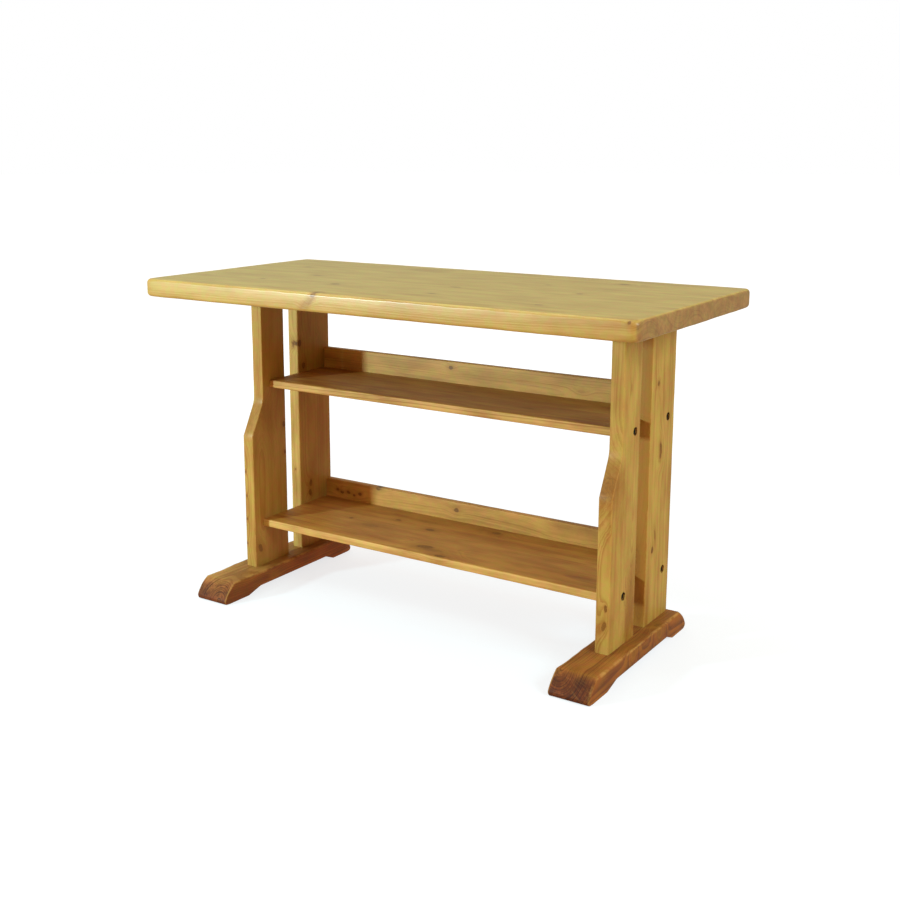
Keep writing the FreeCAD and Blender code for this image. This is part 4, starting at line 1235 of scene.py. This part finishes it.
def beech_material(tint):
    """Plain beech with short dark flecks along the dowel."""
    material, graph = new_material("dowel_beech")
    place = graph.add("TexCoord", out="Object")
    flecks = graph.noise(graph.vector("MULTIPLY", place, (500.0, 500.0, 500.0)), detail=3.0)
    dark = solid([value * 0.7 for value in tint])
    tone = graph.mix(graph.between(flecks, 0.4, 0.7), solid(tint), dark)
    bump = graph.add("Bump", {"Strength": 0.2, "Distance": 0.0002, "Height": flecks})
    rough = graph.between(flecks, 0.3, 0.7, 0.55, 0.7)
    shader = graph.add("BsdfPrincipled", {"Base Color": tone, "Roughness": rough, "Normal": bump})
    graph.add("OutputMaterial", {"Surface": shader})
    return material


class BENCH_OT_finish_fixings(bpy.types.Operator):
    """Give the bolts, nuts, screws, washers and dowels their finish"""

    bl_idname = "bench.finish_fixings"
    bl_label = "Fixings"

    def execute(self, context):
        colours = context.scene.bench_colours
        black = steel_material("black_oxide_steel", colours.black_steel, 0.4, (0.50, 0.70))
        bright = steel_material("zinc_plated_steel", colours.bright_steel, 1.0, (0.25, 0.40))
        beech = beech_material(colours.beech)
        for nodes, material in ((BLACK_FIXINGS, black), (BRIGHT_FIXINGS, bright), (DOWELS, beech)):
            for node in nodes:
                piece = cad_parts[node]
                if piece.material_slots:
                    for place in piece.material_slots:
                        place.material = material
                else:
                    piece.data.materials.append(material)
        return {"FINISHED"}


# ---- the studio ------------------------------------------------------------------------------

def strength(name, description, default):
    """Property that holds how strong a light is."""
    return FloatProperty(name=name, description=description, default=default, min=0.0)


class BenchStudio(bpy.types.PropertyGroup):
    """Camera and lights."""

    camera_place: FloatVectorProperty(
        name="Camera", description="Where the camera stands", default=(1.4496, -2.1909, 1.0482),
        size=3, subtype="TRANSLATION", unit="LENGTH",
    )
    camera_heading: FloatProperty(
        name="Heading", description="How far the camera looks to the left of the bench's back",
        default=math.radians(33.68), subtype="ANGLE",
    )
    camera_dip: FloatProperty(
        name="Dip", description="How far the camera looks below level", default=math.radians(11.26),
        subtype="ANGLE",
    )
    lens: FloatProperty(name="Lens", description="Focal length, in millimetres", default=48.62, min=1.0)
    shift_x: FloatProperty(name="Shift across", description="Lens shift to the right", default=0.0186)
    shift_y: FloatProperty(name="Shift up", description="Lens shift upwards", default=-0.0723)
    daylight: strength("Daylight", "Strength of the plain surroundings", 0.88)
    glare: strength("Glare", "How bright the surroundings look in the varnish", 0.45)
    key_power: strength("Key", "Power of the low light at the front left, in watts", 112.0)
    side_power: strength("Side", "Power of the light at the right, in watts", 74.0)
    back_power: strength("Back", "Power of the light behind on the left, in watts", 26.0)
    over_power: strength("Overhead", "Power of the light overhead, in watts", 39.0)


# Each lamp: its place, width and height, and whether the varnish mirrors it.
LAMPS = {
    "key": ((-2.05, -3.0, 1.15), (0.25, 0.25), True),
    "side": ((3.1, -0.5, 1.95), (1.8, 1.4), True),
    "back": ((-2.2, 3.2, 1.5), (2.0, 1.2), False),
    "over": ((-1.1, -0.4, 3.0), (2.2, 2.2), True),
}
LAMPS_FACE = Vector((0.0, 0.0, 0.4))
FLOOR_RADIUS = 40.0
FLOOR_SPECK = (0.20, 0.27, 0.33, 1.0)
FLOOR_GLOW = (0.95, 0.98, 1.0, 1.0)


def add_light(name, power):
    """Hang one of the lamps, aimed at the bench."""
    place, size, mirrored = LAMPS[name]
    lamp = bpy.data.lights.new(f"{name}_light", "AREA")
    lamp.color = bpy.context.scene.bench_colours.lamps
    lamp.shape = "RECTANGLE"
    lamp.size, lamp.size_y = size
    lamp.energy = power
    stand = bpy.data.objects.new(f"{name}_light", lamp)
    stand.location = place
    stand.rotation_euler = (LAMPS_FACE - Vector(place)).to_track_quat("-Z", "Y").to_euler()
    stand.visible_glossy = mirrored
    bpy.context.scene.collection.objects.link(stand)


class BENCH_OT_set_stage(bpy.types.Operator):
    """Lay the floor and set up the lights and the camera"""

    bl_idname = "bench.set_stage"
    bl_label = "Studio"

    def execute(self, context):
        scene = context.scene
        studio = scene.bench_studio
        self.lay_floor(scene.bench_colours)
        self.light(scene, studio, scene.bench_colours)
        lens = bpy.data.cameras.new("studio_camera")
        lens.lens = studio.lens
        lens.sensor_width = 36.0
        lens.shift_x = studio.shift_x
        lens.shift_y = studio.shift_y
        lens.dof.use_dof = False
        camera = bpy.data.objects.new("studio_camera", lens)
        camera.location = studio.camera_place
        camera.rotation_euler = (math.pi / 2 - studio.camera_dip, 0.0, studio.camera_heading)
        scene.collection.objects.link(camera)
        scene.camera = camera
        scene.view_settings.view_transform = "Standard"
        return {"FINISHED"}

    def lay_floor(self, colours):
        shape = bmesh.new()
        bmesh.ops.create_circle(shape, cap_ends=True, segments=96, radius=FLOOR_RADIUS)
        floor = new_piece("studio_floor", shape)
        material, graph = new_material("studio_floor")
        place = graph.add("TexCoord", out="Object")
        away = graph.vector("LENGTH", place, out="Value")
        glow = graph.between(away, 0.5, 5.0, 0.76, 1.0)
        grain = graph.times(graph.noise(place, scale=60.0, detail=3.0), 0.05)
        tone = graph.mix(grain, solid(colours.floor), FLOOR_SPECK)
        shader = graph.add("BsdfPrincipled", {
            "Base Color": tone, "Roughness": 0.9,
            "Emission Color": FLOOR_GLOW, "Emission Strength": glow,
        })
        graph.add("OutputMaterial", {"Surface": shader})
        floor.data.materials.append(material)
        floor.visible_diffuse = False
        floor.visible_glossy = False

    def light(self, scene, studio, colours):
        world = bpy.data.worlds.new("studio_surroundings")
        world.use_nodes = True
        world.node_tree.nodes.clear()
        graph = Graph(world.node_tree)
        path = graph.tree.nodes.new("ShaderNodeLightPath").outputs
        tone = graph.mix(path["Is Glossy Ray"], solid(colours.surroundings), solid(colours.glare))
        tone = graph.mix(path["Is Camera Ray"], tone, (1.0, 1.0, 1.0, 1.0))
        levels = {"Value": path["Is Glossy Ray"], 3: studio.daylight, 4: studio.glare}
        level = graph.maths("MAXIMUM", graph.add("MapRange", levels), path["Is Camera Ray"])
        sky = graph.add("Background", {"Color": tone, "Strength": level})
        graph.add("OutputWorld", {"Surface": sky})
        scene.world = world
        for name in LAMPS:
            add_light(name, getattr(studio, f"{name}_power"))


# ---- the add-on ------------------------------------------------------------------------------

STEPS = (
    BENCH_OT_make_top,
    BENCH_OT_make_legs,
    BENCH_OT_make_feet,
    BENCH_OT_make_shelves,
    BENCH_OT_make_rails,
    BENCH_OT_finish_fixings,
    BENCH_OT_set_stage,
)


class BENCH_PT_workshop(bpy.types.Panel):
    """Buttons that make the bench, and its sizes and colours"""

    bl_idname = "BENCH_PT_workshop"
    bl_label = "Potting Bench"
    bl_space_type = "VIEW_3D"
    bl_region_type = "UI"
    bl_category = "Bench"

    def draw(self, context):
        for step in STEPS:
            self.layout.operator(step.bl_idname)
        for settings in (getattr(context.scene, name) for name in GROUPS):
            box = self.layout.box()
            for name in settings.__annotations__:
                box.prop(settings, name)


GROUPS = {"bench_sizes": BenchSizes, "bench_colours": BenchColours, "bench_studio": BenchStudio}


def register():
    for item in (*GROUPS.values(), *STEPS, BENCH_PT_workshop):
        bpy.utils.register_class(item)
    for name, group in GROUPS.items():
        setattr(bpy.types.Scene, name, PointerProperty(type=group))


def unregister():
    for name in GROUPS:
        delattr(bpy.types.Scene, name)
    for item in (BENCH_PT_workshop, *reversed(STEPS), *GROUPS.values()):
        bpy.utils.unregister_class(item)


def main():
    register()
    for step in STEPS:
        group, name = step.bl_idname.split(".")
        getattr(getattr(bpy.ops, group), name)()


if __name__ == "__main__":
    main()
